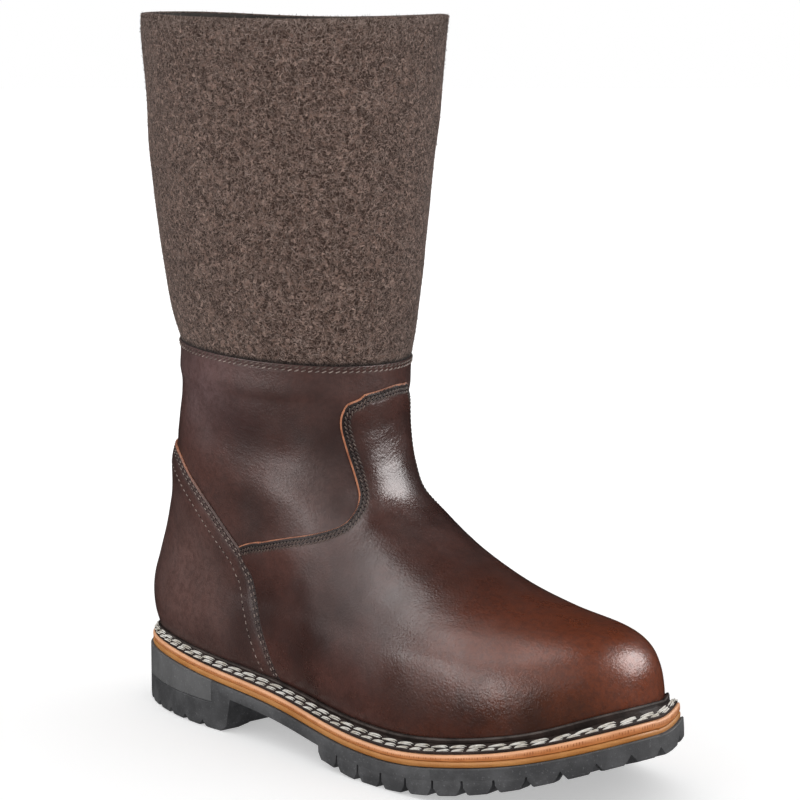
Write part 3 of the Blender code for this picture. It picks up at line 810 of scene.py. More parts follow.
def fibre(name):
    """Loose wool hairs, from brown to pale grey."""
    g = Graph(name)
    colour = g.mix(g.attribute("tone"), (0.040, 0.023, 0.017), (0.380, 0.285, 0.245))
    streak = g.noise(900.0, 3.0)
    colour = g.mix(g.times(streak, 0.3), colour, (0.06, 0.042, 0.034))
    return g.finish(Base_Color=colour, Roughness=0.9, Specular_IOR_Level=0.1)


def lining(name):
    """Dark grey woven lining."""
    g = Graph(name)
    weave = g.bump(g.noise(1400.0, 2.0, 0.5), 0.5, 0.0004)
    colour = g.mix(g.band(g.noise(90.0, 3.0), 0.3, 0.7), (0.036, 0.030, 0.026), (0.062, 0.053, 0.047))
    return g.finish(Base_Color=colour, Roughness=0.9, Normal=weave, Specular_IOR_Level=0.2)


def rubber(name, dark, light, gloss):
    """Moulded rubber with a faint dusty mottle."""
    g = Graph(name)
    dust = g.band(g.noise(75.0, 6.0, 0.65), 0.35, 0.7)
    colour = g.mix(dust, dark, light)
    grit = g.band(g.noise(900.0, 2.0, 0.6), 0.60, 0.72, 0.0, 0.5)
    colour = g.mix(grit, colour, tuple(2.0 * value for value in light))
    relief = g.plus(g.noise(1500.0, 3.0, 0.6), g.times(g.noise(160.0, 3.0), 0.8))
    rough = g.band(g.noise(120.0, 4.0), 0.3, 0.7, gloss - 0.06, gloss + 0.08)
    normal = g.bump(relief, 0.25, 0.0005)
    return g.finish(Base_Color=colour, Roughness=rough, Normal=normal, Specular_IOR_Level=0.4)


def tan_edge(name, dark, light, streak, rim, rim_share):
    """Waxed edge of a leather midsole: fibres along it, a painted highlight along its top and the marks of a
    wheel.
    """
    g = Graph(name)
    fibres = g.band(g.noise(1.0, 5.0, 0.65, g.stretched(60.0, 60.0, 1500.0)), 0.35, 0.68)
    patches = g.band(g.noise(70.0, 4.0, 0.6), 0.3, 0.7)
    colour = g.mix(patches, dark, light)
    colour = g.mix(g.times(fibres, 0.55), colour, streak)
    # painted highlight along the top of the edge, broken up by noise
    upper = g.band(g.attribute("rise"), 0.36, 0.62)
    highlight_rim = g.band(g.noise(45.0, 4.0, 0.6), 0.25, 0.6, 0.55 * rim_share, rim_share)
    colour = g.mix(g.times(upper, highlight_rim), colour, rim)
    wave = g.math("SINE", g.times(g.attribute("around"), 2 * math.pi / WHEEL_PITCH))
    line = g.math("ABSOLUTE", g.math("SUBTRACT", g.attribute("rise"), 0.44))
    line = g.band(line, 0.12, 0.03, 0.0, rim_share)
    uneven = g.band(g.noise(500.0, 3.0, 0.6), 0.40, 0.60)
    ticks = g.times(g.times(g.band(wave, -0.3, 0.8), line), uneven)
    colour = g.mix(ticks, colour, streak)
    relief = g.noise(1.0, 4.0, 0.6, g.stretched(140.0, 140.0, 1800.0))
    rough = g.band(patches, 0.0, 1.0, 0.45, 0.58)
    normal = g.bump(relief, 0.2, 0.0004)
    return g.finish(Base_Color=colour, Roughness=rough, Normal=normal, Specular_IOR_Level=0.3)


def welt_leather(name, dark, light):
    """Dark waxed welt leather, also used for the painted highlight along the lip's top edge."""
    g = Graph(name)
    colour = g.mix(g.band(g.noise(110.0, 5.0, 0.6), 0.3, 0.7), dark, light)
    relief = g.plus(g.noise(900.0, 3.0), g.times(g.noise(160.0, 3.0), 0.7))
    normal = g.bump(relief, 0.25, 0.0005)
    return g.finish(Base_Color=colour, Roughness=0.6, Normal=normal, Specular_IOR_Level=0.15)


def thread(name, dark, light):
    """Waxed thread with plies that catch the light."""
    g = Graph(name)
    soil = g.band(g.noise(260.0, 4.0, 0.6), 0.35, 0.7)
    colour = g.mix(soil, light, dark)
    return g.finish(Base_Color=colour, Roughness=0.7, Normal=g.bump(g.noise(2400.0, 2.0), 0.4, 0.0003))


def insole_leather(name):
    g = Graph(name)
    colour = g.mix(g.band(g.noise(60.0, 5.0, 0.6), 0.3, 0.7), (0.20, 0.125, 0.075), (0.32, 0.215, 0.135))
    return g.finish(Base_Color=colour, Roughness=0.75, Normal=g.bump(g.noise(900.0, 4.0), 0.3, 0.0004))


def painted_hole_shade(name):
    """Painted shade for a stitch hole."""
    g = Graph(name)
    colour = g.mix(g.noise(400.0), (0.004, 0.003, 0.003), (0.010, 0.007, 0.006))
    return g.finish(Base_Color=colour, Roughness=0.9, Specular_IOR_Level=0.1)


def pale_floor(name):
    g = Graph(name)
    colour = g.mix(g.band(g.noise(3.0, 3.0), 0.3, 0.7), (0.79, 0.79, 0.79), (0.81, 0.81, 0.81))
    far = g.node("ShaderNodeVectorMath", {0: g.place}, operation="LENGTH").outputs["Value"]
    glow = g.band(far, 0.15, 0.8, 0.42, 0.6)
    return g.finish(Base_Color=colour, Roughness=0.8, Specular_IOR_Level=0.1, Emission_Strength=glow,
                    Emission_Color=(1.0, 1.0, 1.0))


def white_backdrop(name):
    g = Graph(name)
    return g.finish(Base_Color=(0.0, 0.0, 0.0), Specular_IOR_Level=0.0, Emission_Color=(1.0, 1.0, 1.0),
                    Emission_Strength=1.0)


LEATHER_DARK = (0.047, 0.0208, 0.0172)
LEATHER_LIGHT = (0.102, 0.0412, 0.0325)
LEATHER_TOE = (0.186, 0.0445, 0.0178)

quarter_hide = leather("quarter_hide", LEATHER_DARK, LEATHER_LIGHT, LEATHER_LIGHT, 0.40, 0.0)
vamp_hide = leather("vamp_hide", LEATHER_DARK, LEATHER_LIGHT, LEATHER_TOE, 0.30, 0.75)
counter_hide = leather("counter_hide", LEATHER_DARK, LEATHER_LIGHT, LEATHER_LIGHT, 0.42, 0.4)
cut_edge = raw_edge("cut_edge")
counter_rim = counter_edge_material("counter_rim")
wool = felt("wool_felt")
hair = fibre("wool_hair")
dark_lining = lining("dark_lining")
black_rubber = rubber("black_rubber", (0.040, 0.040, 0.043), (0.078, 0.078, 0.082), 0.66)
grey_rubber = rubber("grey_rubber", (0.096, 0.096, 0.098), (0.122, 0.122, 0.124), 0.62)
# the last two values are the painted highlight's colour along the edge's top and its share, which also scales
# the wheel marks
orange_edge = tan_edge("orange_edge", (0.50, 0.160, 0.036), (0.66, 0.250, 0.072), (0.34, 0.095, 0.020),
                       (0.93, 0.480, 0.260), 1.0)
ochre_edge = tan_edge("ochre_edge", (0.46, 0.175, 0.032), (0.58, 0.255, 0.062), (0.36, 0.120, 0.022),
                      (0.60, 0.270, 0.070), 0.4)
welt_hide = welt_leather("welt_hide", (0.018, 0.011, 0.009), (0.048, 0.029, 0.024))
# painted highlight along the welt lip's top edge
worn_edge = welt_leather("worn_edge", (0.036, 0.026, 0.022), (0.120, 0.096, 0.086))
white_thread = thread("white_thread", (0.60, 0.54, 0.45), (0.96, 0.93, 0.87))
beige_thread = thread("beige_thread", (0.110, 0.077, 0.062), (0.340, 0.258, 0.220))
brown_thread = thread("brown_thread", (0.055, 0.033, 0.025), (0.165, 0.110, 0.086))
vamp_thread = thread("vamp_thread", (0.032, 0.019, 0.014), (0.135, 0.088, 0.066))
# dark discs of painted shade over the stitch holes
hole_dark = painted_hole_shade("hole_dark")


RUBBER_PLAN = grow(SOLE_PLAN, RUBBER_PROUD)


def outline_rings(plan, profile, count, start=None, end=None):
    """Rings round a plan outline: the profile gives each ring's inset and its height along x."""
    rings = []
    for inset, height in profile:
        inner_plan = grow(plan, -inset)
        x0 = inner_plan.back_x if start is None else start
        x1 = inner_plan.front_x if end is None else end
        f = np.linspace(0.0, 1.0, count)
        if start is None and end is None:
            f = 0.5 - 0.5 * np.cos(math.pi * f)
        elif start is None:
            f = 1.0 - np.cos(0.5 * math.pi * f)
        elif end is None:
            f = np.sin(0.5 * math.pi * f)
        x = x0 + (x1 - x0) * f
        outer, inner = plan_sides(inner_plan, x)
        sides = [np.stack([x, y, height(x)], 1) for y in (outer, inner)]
        rings.append(np.concatenate([sides[0], sides[1][::-1]]))
    return rings


def add_plate(shape, rings, material=0):
    """A plate from rings that rise from its underside to its top, closed by strips across it."""
    shape.loft(rings, flip=True, material=material)
    half = len(rings[0]) // 2
    k = np.arange(half - 1)
    strips = np.stack([k, k + 1, 2 * half - 2 - k, 2 * half - 1 - k], 1)
    shape.add(rings[0], strips[:, ::-1], material)
    shape.add(rings[-1], strips, material)


def level(height):
    """A height that is the same all along the boot."""
    return lambda x: np.full_like(np.asarray(x, float), height)


def raised(line, by):
    return lambda x: line(x) + by


def edge_walk(plan, x_limit, toward_toe):
    """Points round an outline from its outer to its inner side, with vectors into the sole and lengths."""
    end = plan.front_x if toward_toe else plan.back_x
    xs = x_limit + (end - x_limit) * np.sin(np.linspace(0.0, 0.5 * math.pi, EDGE_STEPS))
    outer, inner = plan_sides(plan, xs)
    path = np.concatenate([np.stack([xs, outer], 1), np.stack([xs, inner], 1)[-2::-1]])
    tangent = np.gradient(path, axis=0)
    inward = np.stack([-tangent[:, 1], tangent[:, 0]], 1) * (1.0 if toward_toe else -1.0)
    return path, unit(inward), lengths(path)


def add_prism(shape, outlines, heights, flip):
    """A block between outlines that match point for point, closed at both ends."""
    rings = [[(x, y, float(height(x))) for x, y in outline] for outline, height in zip(outlines, heights)]
    shape.loft(rings, flip=flip)
    shape.fan(rings[0], flip=not flip)
    shape.fan(rings[-1], flip=flip)


def add_edge_lugs(shape, plan, x_limit, toward_toe, pitch, notch, foot, root):
    """Lugs round an edge with notches between them that open towards the ground."""
    path, inward, length = edge_walk(plan, x_limit, toward_toe)
    count = round(length[-1] / pitch)
    pitch = length[-1] / count
    for k in range(count):
        outlines, heights = [], []
        toe = toe_share(np.interp((k + 0.5) * pitch, length, path[:, 0]))
        slit = LUG_SLIT * (1.0 - TOE_SLIT_CLOSED * toe)
        for gap, setback, draft, height in (
                (LUG_FOOT_GAP, LUG_ROUND, 1.0, foot),
                (LUG_FOOT_GAP - 1.0, 0.2 * LUG_ROUND, 0.8, raised(foot, 0.5 * LUG_ROUND)),
                (slit + 0.4, FLUSH, 0.3, raised(foot, notch)),
                (slit, FLUSH, 0.0, root),
                (slit, LUG_ROUND, 0.0, raised(root, LUG_SINK))):
            along = np.linspace(k * pitch + 0.5 * gap, (k + 1) * pitch - 0.5 * gap, LUG_POINTS)
            edge, into = picked(path, length, along), picked(inward, length, along)
            inner = edge[[-1, 0]] + into[[-1, 0]] * (LUG_DEPTH - draft * LUG_DRAFT)
            outlines.append(np.concatenate([edge + into * setback, inner]))
            heights.append(height)
        add_prism(shape, outlines, heights, flip=toward_toe)


def add_cross_lug(shape, x, y, foot, root):
    """A cross in the middle of the tread, rounded at the ground."""
    outlines = []
    for inset in (LUG_ROUND, 0.0, 0.0):
        arm, length, width = 0.5 * CROSS_ARM - inset, 0.5 * CROSS_LENGTH - inset, 0.5 * CROSS_WIDTH - inset
        quarter = ((length, arm), (arm, arm), (arm, width))
        corners = [(u, v) for u, v in quarter] + [(-u, v) for u, v in reversed(quarter)]
        corners += [(-u, -v) for u, v in quarter] + [(u, -v) for u, v in reversed(quarter)]
        outlines.append([(x + u, y + v) for u, v in corners])
    add_prism(shape, outlines, (foot, raised(foot, LUG_ROUND), root), flip=True)


def outsole_top(x):
    return sole_line(x) - LAYER_GAP


def outsole_base(x):
    return outsole_top(x) - RUBBER_BASE


def tread_line(x):
    """Underside of the lugs, which rises at the toe and a little behind the ball."""
    back = soft_step((LUG_START_X + LUG_BACK_REACH - x) / LUG_BACK_FADE)
    return toe_rise(x) + LUG_BACK_RISE * back + LUG_TOE_RISE * toe_drop(x)


def make_outsole():
    """Forefoot and waist in one rubber plate, with lugs down to the ground."""
    shape = Shape()
    profile = ((0.0, outsole_base), (0.0, raised(outsole_top, -OUTSOLE_ROUND)), (RUBBER_ROUND, outsole_top))
    add_plate(shape, outline_rings(RUBBER_PLAN, profile, PLATE_STEPS, start=LIFT_FRONT_X + LAYER_GAP))
    add_edge_lugs(shape, RUBBER_PLAN, LUG_START_X, True, LUG_PITCH, LUG_NOTCH, tread_line, outsole_base)
    for k in range(CROSS_COUNT):
        add_cross_lug(shape, CROSS_START_X + k * CROSS_PITCH, SOLE_PLAN.sway + k * CROSS_SWAY, tread_line,
                      raised(outsole_base, LUG_SINK))
    shape.bend(tip_shape)
    shape.piece("outsole_rubber", [black_rubber], "lug_rubber", ["outsole"])


def make_heel():
    """Lugged heel block with a column up to the outsole along its breast."""
    shape = Shape()
    base, top = level(HEEL_LUG_HEIGHT), level(HEEL_BLOCK_HEIGHT)
    below_round = raised(top, -RUBBER_ROUND)
    profile = ((0.0, base), (0.0, below_round), (RUBBER_ROUND, top))
    add_plate(shape, outline_rings(RUBBER_PLAN, profile, HEEL_STEPS, end=BREAST_X))
    add_edge_lugs(shape, RUBBER_PLAN, BREAST_X, False, HEEL_LUG_PITCH, HEEL_NOTCH, level(0.0), base)
    add_cross_lug(shape, HEEL_CROSS_X, 0.0, level(0.0), raised(base, LUG_SINK))
    column = ((0.0, below_round), (0.0, raised(outsole_base, -LAYER_GAP)))
    start = LIFT_FRONT_X + LAYER_GAP
    add_plate(shape, outline_rings(RUBBER_PLAN, column, COLUMN_STEPS, start=start, end=BREAST_X))
    shape.bend(breast_slant)
    shape.piece("heel_block", [black_rubber], "lug_rubber", ["heel"])


def make_heel_lift():
    shape = Shape()
    base = level(HEEL_BLOCK_HEIGHT + LAYER_GAP)
    profile = ((RUBBER_ROUND, base), (0.0, raised(base, RUBBER_ROUND)),
               (0.0, raised(outsole_top, -RUBBER_ROUND)), (RUBBER_ROUND, outsole_top))
    add_plate(shape, outline_rings(RUBBER_PLAN, profile, HEEL_STEPS, end=LIFT_FRONT_X))
    shape.piece("heel_lift_rubber", [grey_rubber], "lift_rubber", ["heel_lift"])


def make_midsoles():
    """Two leather layers with slightly rounded, waxed edges."""
    for name, layer, material, slot, node in (
            ("midsole_lower", 0, ochre_edge, "ochre_midsole", "midsole_base"),
            ("midsole_upper", 1, orange_edge, "tan_midsole", "midsole_top")):
        base = raised(sole_line, layer * MIDSOLE_LAYER)
        top = raised(edge_top if layer else raised(sole_line, MIDSOLE_LAYER), -LAYER_GAP)
        profile = [(inset, raised(base, up)) for inset, up in MIDSOLE_FOOT]
        profile += [(inset, raised(top, -down)) for inset, down in MIDSOLE_SHOULDER]
        rings = np.array(outline_rings(SOLE_PLAN, profile, PLATE_STEPS))
        shape = Shape()
        add_plate(shape, rings)
        shape.bend(tip_shape)
        around = np.tile(lengths(rings[len(MIDSOLE_FOOT) - 1]), len(rings) + 2)
        rise = np.repeat(np.append(np.linspace(0.0, 1.0, len(rings)), (0.0, 1.0)), len(rings[0]))
        shape.piece(name, [material], slot, [node], around=around, rise=rise)


def reach(plan, point, direction):
    """Point where a ray in plan, from inside an outline, meets it."""
    near, far = 0.0, REACH_LIMIT
    for _ in range(REACH_HALVINGS):
        middle = 0.5 * (near + far)
        x, y = point + middle * direction
        outer, inner = plan_sides(plan, x)
        if plan.back_x < x < plan.front_x and outer < y < inner:
            near = middle
        else:
            far = middle
    return point + near * direction


WELT_ANGLES = full_turn(WELT_STEPS)


def welt_lines():
    """Foot of the lip and edge of the flange in plan, and the lip's own points, round the boot."""
    low_in, low_out = (skin(WELT_ANGLES, 0.0, d) for d in (WELT_OFFSET, WELT_OFFSET + WELT_LIP))
    plan = grow(SOLE_PLAN, -WELT_INSET)
    edge = [reach(plan, a[:2], (b - a)[:2] / np.linalg.norm((b - a)[:2])) for a, b in zip(low_in, low_out)]
    return low_in, low_out, np.array(edge)


def flange_point(root, edge, share, lift):
    """A point on the flange's slope, from the lip's foot at 0 to the edge at 1."""
    plan_point = root[:, :2] + share * (edge - root[:, :2])
    front = toe_share(root[:, 0]) * soft_step((ROOT_LIFT_END_Y - root[:, 1]) / ROOT_LIFT_FADE)
    steep = WELT_ROOT + TOE_ROOT_LIFT * front
    height = edge_top(plan_point[:, 0]) + steep + share * (WELT_EDGE - steep) + lift
    points = np.column_stack([plan_point, height])
    bent = tip_shape(points)
    points[:, :2] += soft_step(share) * (bent - points)[:, :2]
    points[:, 2] = bent[:, 2]
    return points


def make_welt():
    """Sloped flange with two sunk channels for the stitches, and a rounded lip up the leather with a painted
    highlight along its top edge.
    """
    low_in, root, edge = welt_lines()

    def lip(row, share):
        x, y = root[:, 0], root[:, 1]
        tip = np.maximum(tip_rise(x, y), 0.0) / TOE_ROW_RISE
        front = TIP_LIP_ROWS * soft_step((x - TIP_LIP_START) / TIP_LIP_REACH)
        rows = row + TOE_LIP_ROWS * toe_share(x) + front + tip
        return skin(WELT_ANGLES, rows, WELT_OFFSET + share * WELT_LIP)

    rings = [np.column_stack([low_in[:, :2], feather_line(low_in[:, 0])])]
    rings += [flange_point(root, edge, share, lift) for share, lift in FLANGE_PROFILE]
    highlight_rim = len(rings) + HIGHLIGHT_LIP_STEP
    rings += [lip(WELT_LIP_ROW + rows, share) for rows, share in LIP_PROFILE]
    shape = Shape()
    shape.loft(rings[:highlight_rim + 1])
    # band along the lip's top edge with the painted highlight
    shape.loft(rings[highlight_rim:highlight_rim + 2], material=1)
    shape.loft(rings[highlight_rim + 1:] + rings[:1])
    shape.piece("welt_strip", [welt_hide, worn_edge], "welt_leather", ["welt"])
    return root, edge


def add_thread(shape, path, normals, radius, material=0):
    """A rounded strand along a path, thin at both ends."""
    tangent = unit(np.gradient(path, axis=0))
    across = unit(np.cross(tangent, normals))
    up = np.cross(across, tangent)
    f = np.linspace(-1.0, 1.0, len(path))
    size = radius * np.sqrt(np.clip(1.0 - np.abs(f) ** THREAD_BLUNT, THREAD_END, None))
    turn = full_turn(THREAD_SIDES)
    rings = path[:, None] + size[:, None, None] * (np.cos(turn)[None, :, None] * across[:, None]
                                                   + np.sin(turn)[None, :, None] * up[:, None])
    shape.loft(rings, flip=True, material=material)
    shape.fan(rings[0], flip=True, material=material)
    shape.fan(rings[-1], material=material)


def add_stitches(shape, path, normals, row, start=0.5, material=0, holes=None):
    """Stitches along a path: each rises from its holes, plies wound together where there are two."""
    length = lengths(path)
    count = round(length[-1] / row.pitch)
    pitch = length[-1] / count
    steps = 9 if row.plies > 1 else 7
    f = np.linspace(0.0, 1.0, steps)
    for k in range(count):
        middle = (k + start) * pitch
        at = np.clip(middle + row.length * pitch / row.pitch * (f - 0.5), 0.0, length[-1])
        line, up = picked(path, length, at), unit(picked(normals, length, at))
        side = np.cross(up, unit(np.gradient(line, axis=0)))
        arch = np.sin(math.pi * f) ** STITCH_ARCH
        line = line + up * (row.sink + (row.rise - row.sink) * arch)[:, None]
        line = line + side * (row.slant * (f - 0.5))[:, None]
        for ply in range(row.plies):
            wound = line
            if row.plies > 1:
                turn = 2 * math.pi * (ply / row.plies + PLY_TURN * (f - 0.5))
                turn = turn + PLY_UNEVEN * math.sin(PLY_BEAT * k)
                apart = PLY_SPACING * row.radius
                wound = line + apart * (np.cos(turn)[:, None] * side + np.sin(turn)[:, None] * up)
            add_thread(shape, wound, up, row.radius, material=material)
        if holes is not None:
            for end in (0, -1):
                add_hole(holes, line[end] - up[end] * row.sink, up[end], side[end])


def add_hole(shape, centre, up, side):
    """A small disc of painted shade where a stitch goes in."""
    ahead = np.cross(side, up)
    turn = full_turn(HOLE_SIDES)[:, None]
    ring = centre + HOLE_PROUD * up + HOLE_RADIUS * (np.cos(turn) * ahead + 0.8 * np.sin(turn) * side)
    shape.loft([ring - HOLE_DEPTH * up, ring], flip=True)
    shape.fan(ring)


def make_welt_stitches(root, edge):
    """Long stitches by the lip and shorter ones by the edge, all round the welt."""
    shape = Shape()
    for share, row, start in ((LONG_SHARE, WELT_LONG, 0.5), (SHORT_SHARE, WELT_SHORT, 0.2)):
        path = flange_point(root, edge, share, -WELT_STITCH_SINK)
        path = evenly(np.concatenate([path, path[:1]]), PATH_SPACING)
        slope = unit(np.gradient(path, axis=0))
        outward = np.stack([slope[:, 1], -slope[:, 0], np.zeros(len(slope))], 1)
        centre = np.array([0.5 * SOLE_LENGTH, 0.0, 0.0])
        outward *= np.sign(np.sum(outward * (path - centre), axis=1, keepdims=True))
        normals = unit(unit(outward) * WELT_STITCH_TILT + np.array([0.0, 0.0, 1.0]))
        add_stitches(shape, path, normals, row, start)
    shape.piece("welt_stitches", [white_thread], "welt_leather")


def side_places(points, side):
    """Angles and rows of surface points with the given side view, on the outer (1) or inner (-1) side."""
    angles = side * np.linspace(0.03, math.pi - 0.03, SEARCH_STEPS)
    rows = np.linspace(0.0, SEAM_ROW + 1.0, SEARCH_STEPS)
    grid = surface(angles[None, :], rows[:, None])
    places = []
    for x, z in points:
        miss = (grid[..., 0] - x) ** 2 + (grid[..., 2] - z) ** 2
        i, j = np.unravel_index(np.argmin(miss), miss.shape)
        place = np.array([angles[j], rows[i]])
        for _ in range(SEARCH_ROUNDS):
            here = surface(*place)
            by_angle, by_row, _ = slopes(*place)
            step = np.array([[by_angle[0], by_row[0]], [by_angle[2], by_row[2]]])
            miss = np.array([x - here[0], z - here[2]])
            place = place + SEARCH_SHARE * np.linalg.lstsq(step, miss, rcond=None)[0]
        places.append(place)
    return np.array(places)


def row_at_height(angle, z):
    """Row number where the surface reaches a height at an angle."""
    rows = np.linspace(0.0, COLLAR_ROW, 4 * SEARCH_STEPS)
    return float(np.interp(z, surface(angle, rows)[:, 2], rows))


def even_places(places, spacing):
    """A path in angles and rows, with points an even distance apart on the boot."""
    places = smooth_path(places, SMOOTH_STEPS)
    length = lengths(surface(*places.T))
    return picked(places, length, np.linspace(0.0, length[-1], round(length[-1] / spacing) + 1))


def inset(places, distance):
    """A path in angles and rows moved sideways on the surface, to the left of its direction."""
    along = unit(np.gradient(surface(*places.T), axis=0))
    steps = math.ceil(distance / INSET_STEP)
    for _ in range(steps):
        by_angle, by_row, normal = slopes(*places.T)
        sideways = unit(np.cross(along, normal)) * distance / steps
        pairs = ((by_angle, by_angle), (by_angle, by_row), (by_row, by_row),
                 (by_angle, sideways), (by_row, sideways))
        a, b, c, u, w = (np.sum(p * q, axis=1) for p, q in pairs)
        scale = a * c - b * b
        places = places + np.stack([(c * u - b * w) / scale, (a * w - b * u) / scale], 1)
        places[:, 1] = np.clip(places[:, 1], 0.0, COLLAR_ROW)
    return places


def inside(points, polygon):
    """Which points lie inside a polygon."""
    x, y = points.T
    result = np.zeros(len(points), bool)
    for (x0, y0), (x1, y1) in zip(polygon, np.roll(polygon, -1, axis=0)):
        if y0 == y1:
            continue
        crosses = (y0 > y) != (y1 > y)
        result ^= crosses & (x < (x1 - x0) * (y - y0) / (y1 - y0) + x0)
    return result


def tree_of(points):
    """A tree to find the nearest of some points."""
    tree = KDTree(len(points))
    for k, point in enumerate(points):
        tree.insert(point, k)
    tree.balance()
    return tree


def nearest(points, targets):
    """Distance from each point to the nearest of the targets."""
    tree = tree_of(targets)
    return np.array([tree.find(point)[2] for point in points])


def flattened(places):
    """Angles and rows as flat points, about as far apart as on the boot."""
    return np.column_stack([places * FLAT_SCALE, np.zeros(len(places))])


def overlay_height(far, thickness):
    """Height of an overlay at a distance from its edge: a cut edge, a pressed seam, then the full leather."""
    rise = np.clip(far / RAW_WIDTH, 0.0, 1.0)
    height = thickness * (0.2 + 0.8 * rise * (2.0 - rise)) * (1.0 - SKIVE * np.exp(-(far / SKIVE_REACH) ** 2))
    pressed = SEAM_PRESS * np.exp(-(far / SEAM_PRESS_REACH) ** 2)
    return height - pressed + BULGE * np.exp(-((far - BULGE_PLACE) / BULGE_REACH) ** 2)


def add_overlay(shape, boundary, edge, thickness, channels):
    """Leather laid on the upper: an outline in angles and rows, filled with triangles, with a cut edge.

    Gives the distance of each point from the finished edge.
    """
    lines = [inset(edge, distance) for distance in EDGE_LINES]
    low, high = boundary.min(0), boundary.max(0)
    angles, rows = np.arange(low[0], high[0], OVERLAY_ANGLE), np.arange(low[1], high[1], OVERLAY_ROWS)
    grid = np.stack(np.meshgrid(angles, rows), -1).reshape(-1, 2)
    edge_points = surface(*even_places(edge, FINE_SPACING).T)
    grid = grid[inside(grid, boundary)]
    grid = grid[nearest(surface(*grid.T), edge_points) > EDGE_LINES[-1] + GRID_CLEAR]
    close = np.concatenate([line[nearest(surface(*line.T), edge_points) > LINE_SHARE * distance]
                            for line, distance in zip(lines, EDGE_LINES)])
    close = close[inside(close, boundary)]
    rest = np.concatenate([close, grid])
    rest = rest[nearest(surface(*rest.T), surface(*boundary.T)) > RIM_CLEAR]
    places = np.concatenate([boundary, rest])
    count = len(boundary)
    rim = [(k, (k + 1) % count) for k in range(count)]
    flat, _, faces, _, _, _ = delaunay_2d_cdt([Vector(p) for p in places * FLAT_SCALE], rim, [], 1, 1e-6)
    places = np.array([tuple(p) for p in flat]) / FLAT_SCALE
    faces = np.array([tuple(face) for face in faces])
    points = surface(*places.T)
    far = nearest(points, edge_points)
    height = overlay_height(far, thickness)
    for channel in channels:
        height -= CHANNEL_DEPTH * np.exp(-((far - channel) / CHANNEL_REACH) ** 2)
    normal = slopes(*places.T)[2]
    relief = crease_height(points)
    outside = points + normal * (OVERLAY_GAP + height + relief)[:, None]
    lower = points + normal * (0.5 * OVERLAY_GAP + relief)[:, None]
    a, b, c = (outside[corner] for corner in faces.T)
    turned = np.sum(np.cross(b - a, c - a) * normal[faces[:, 0]], axis=1) < 0
    faces[turned] = faces[turned][:, ::-1]
    raw = far[faces].max(1) < RAW_WIDTH + RAW_MARGIN
    shape.add(outside, faces[~raw], 0)
    shape.add(outside, faces[raw], 1)
    shape.add(lower, faces[:, ::-1], 0)
    tree = tree_of(flattened(places))
    ring = [tree.find(point)[1] for point in flattened(boundary)]
    shape.loft([lower[ring], outside[ring]], flip=True, material=1)
    return np.concatenate([far, far, far, np.zeros(2 * len(ring))])


def hem(start, end):
    """The hidden lower edge of an overlay, as angles and rows from one angle to another."""
    count = round(abs(end - start) / HEM_STEP)
    return np.stack([np.linspace(start, end, count), np.full(count, OVERLAY_HEM_ROW)], 1)


def to_hem(places):
    """A path carried on in its last direction down to the hem."""
    last, before = places[-1], places[-2]
    share = (OVERLAY_HEM_ROW - last[1]) / (last[1] - before[1])
    return np.concatenate([places, [last + share * (last - before)]])


def mirrored_turn(places):
    """Inner side angles as a continuation past the heel."""
    return places + np.array([2 * math.pi, 0.0])


def overlay_edges():
    """Edges of the vamp and the counter as paths in angles and rows, outer side to inner side."""
    outer, inner = (to_hem(side_places(COUNTER_EDGE, side)) for side in (1, -1))
    heel = np.array([[math.pi, row_at_height(math.pi, COUNTER_TOP_Z)]])
    counter = np.concatenate([outer[::-1], heel, mirrored_turn(inner)])
    corner = (COUNTER_EDGE[COUNTER_CORNER],)
    vamp_outer, vamp_inner = side_places(corner + VAMP_EDGE, 1), side_places(corner + VAMP_INNER, -1)
    turns = [math.radians(turn) for turn, _ in VAMP_TOP]
    top = [(turn, row_at_height(turn, z)) for turn, (_, z) in zip(turns, VAMP_TOP)]
    vamp = np.concatenate([vamp_outer, top, vamp_inner[::-1]])
    seams = outer[COUNTER_CORNER:], inner[COUNTER_CORNER:]
    return even_places(counter, EDGE_SPACING), even_places(vamp, EDGE_SPACING), seams


def make_overlays():
    """Heel counter and vamp, with the paths of their edges."""
    counter, vamp, (outer_seam, inner_seam) = overlay_edges()
    shape = Shape()
    boundary = np.concatenate([counter, hem(counter[-1, 0], counter[0, 0])[1:-1]])
    far = add_overlay(shape, boundary[::-1], counter[::-1], COUNTER_LEATHER, COUNTER_ROWS)
    shape.piece("counter_leather", [counter_hide, counter_rim], "counter_leather", ["heel_counter"],
                from_edge=far)
    shape = Shape()
    gap = np.array([-OVERLAY_GAP / FLAT_SCALE[0], 0.0])
    outer_seam = even_places(outer_seam, EDGE_SPACING) + gap
    inner_seam = even_places(inner_seam, EDGE_SPACING) - gap
    foot = hem(inner_seam[-1, 0], outer_seam[-1, 0])[1:-1]
    boundary = np.concatenate([outer_seam[:0:-1], vamp, inner_seam[1:], foot])
    far = add_overlay(shape, boundary, vamp, VAMP_LEATHER, VAMP_ROWS)
    shape.piece("vamp_leather", [vamp_hide, cut_edge], "vamp_leather", ["vamp"], from_edge=far)
    return counter[::-1], vamp


UPPER_COLUMNS = full_turn(UPPER_STEPS)
SEAM_RISE = float(np.linalg.norm(slopes(np.array(0.5 * math.pi), np.array(SEAM_ROW))[1]))


def seam_pull(angle):
    """How strongly the felt seam draws in round the boot: least at the front."""
    return 0.70 - 0.30 * np.cos(angle)


def top_press(angle, below):
    """How far the felt seam draws the leather in, by the distance below its top edge."""
    return TOP_PRESS * seam_pull(angle) * soft_step(1.0 - np.asarray(below) / TOP_PRESS_REACH)


def top_row(below):
    """Row number at a distance below the leather's top edge."""
    return LEATHER_TOP_ROW - np.asarray(below) / SEAM_RISE


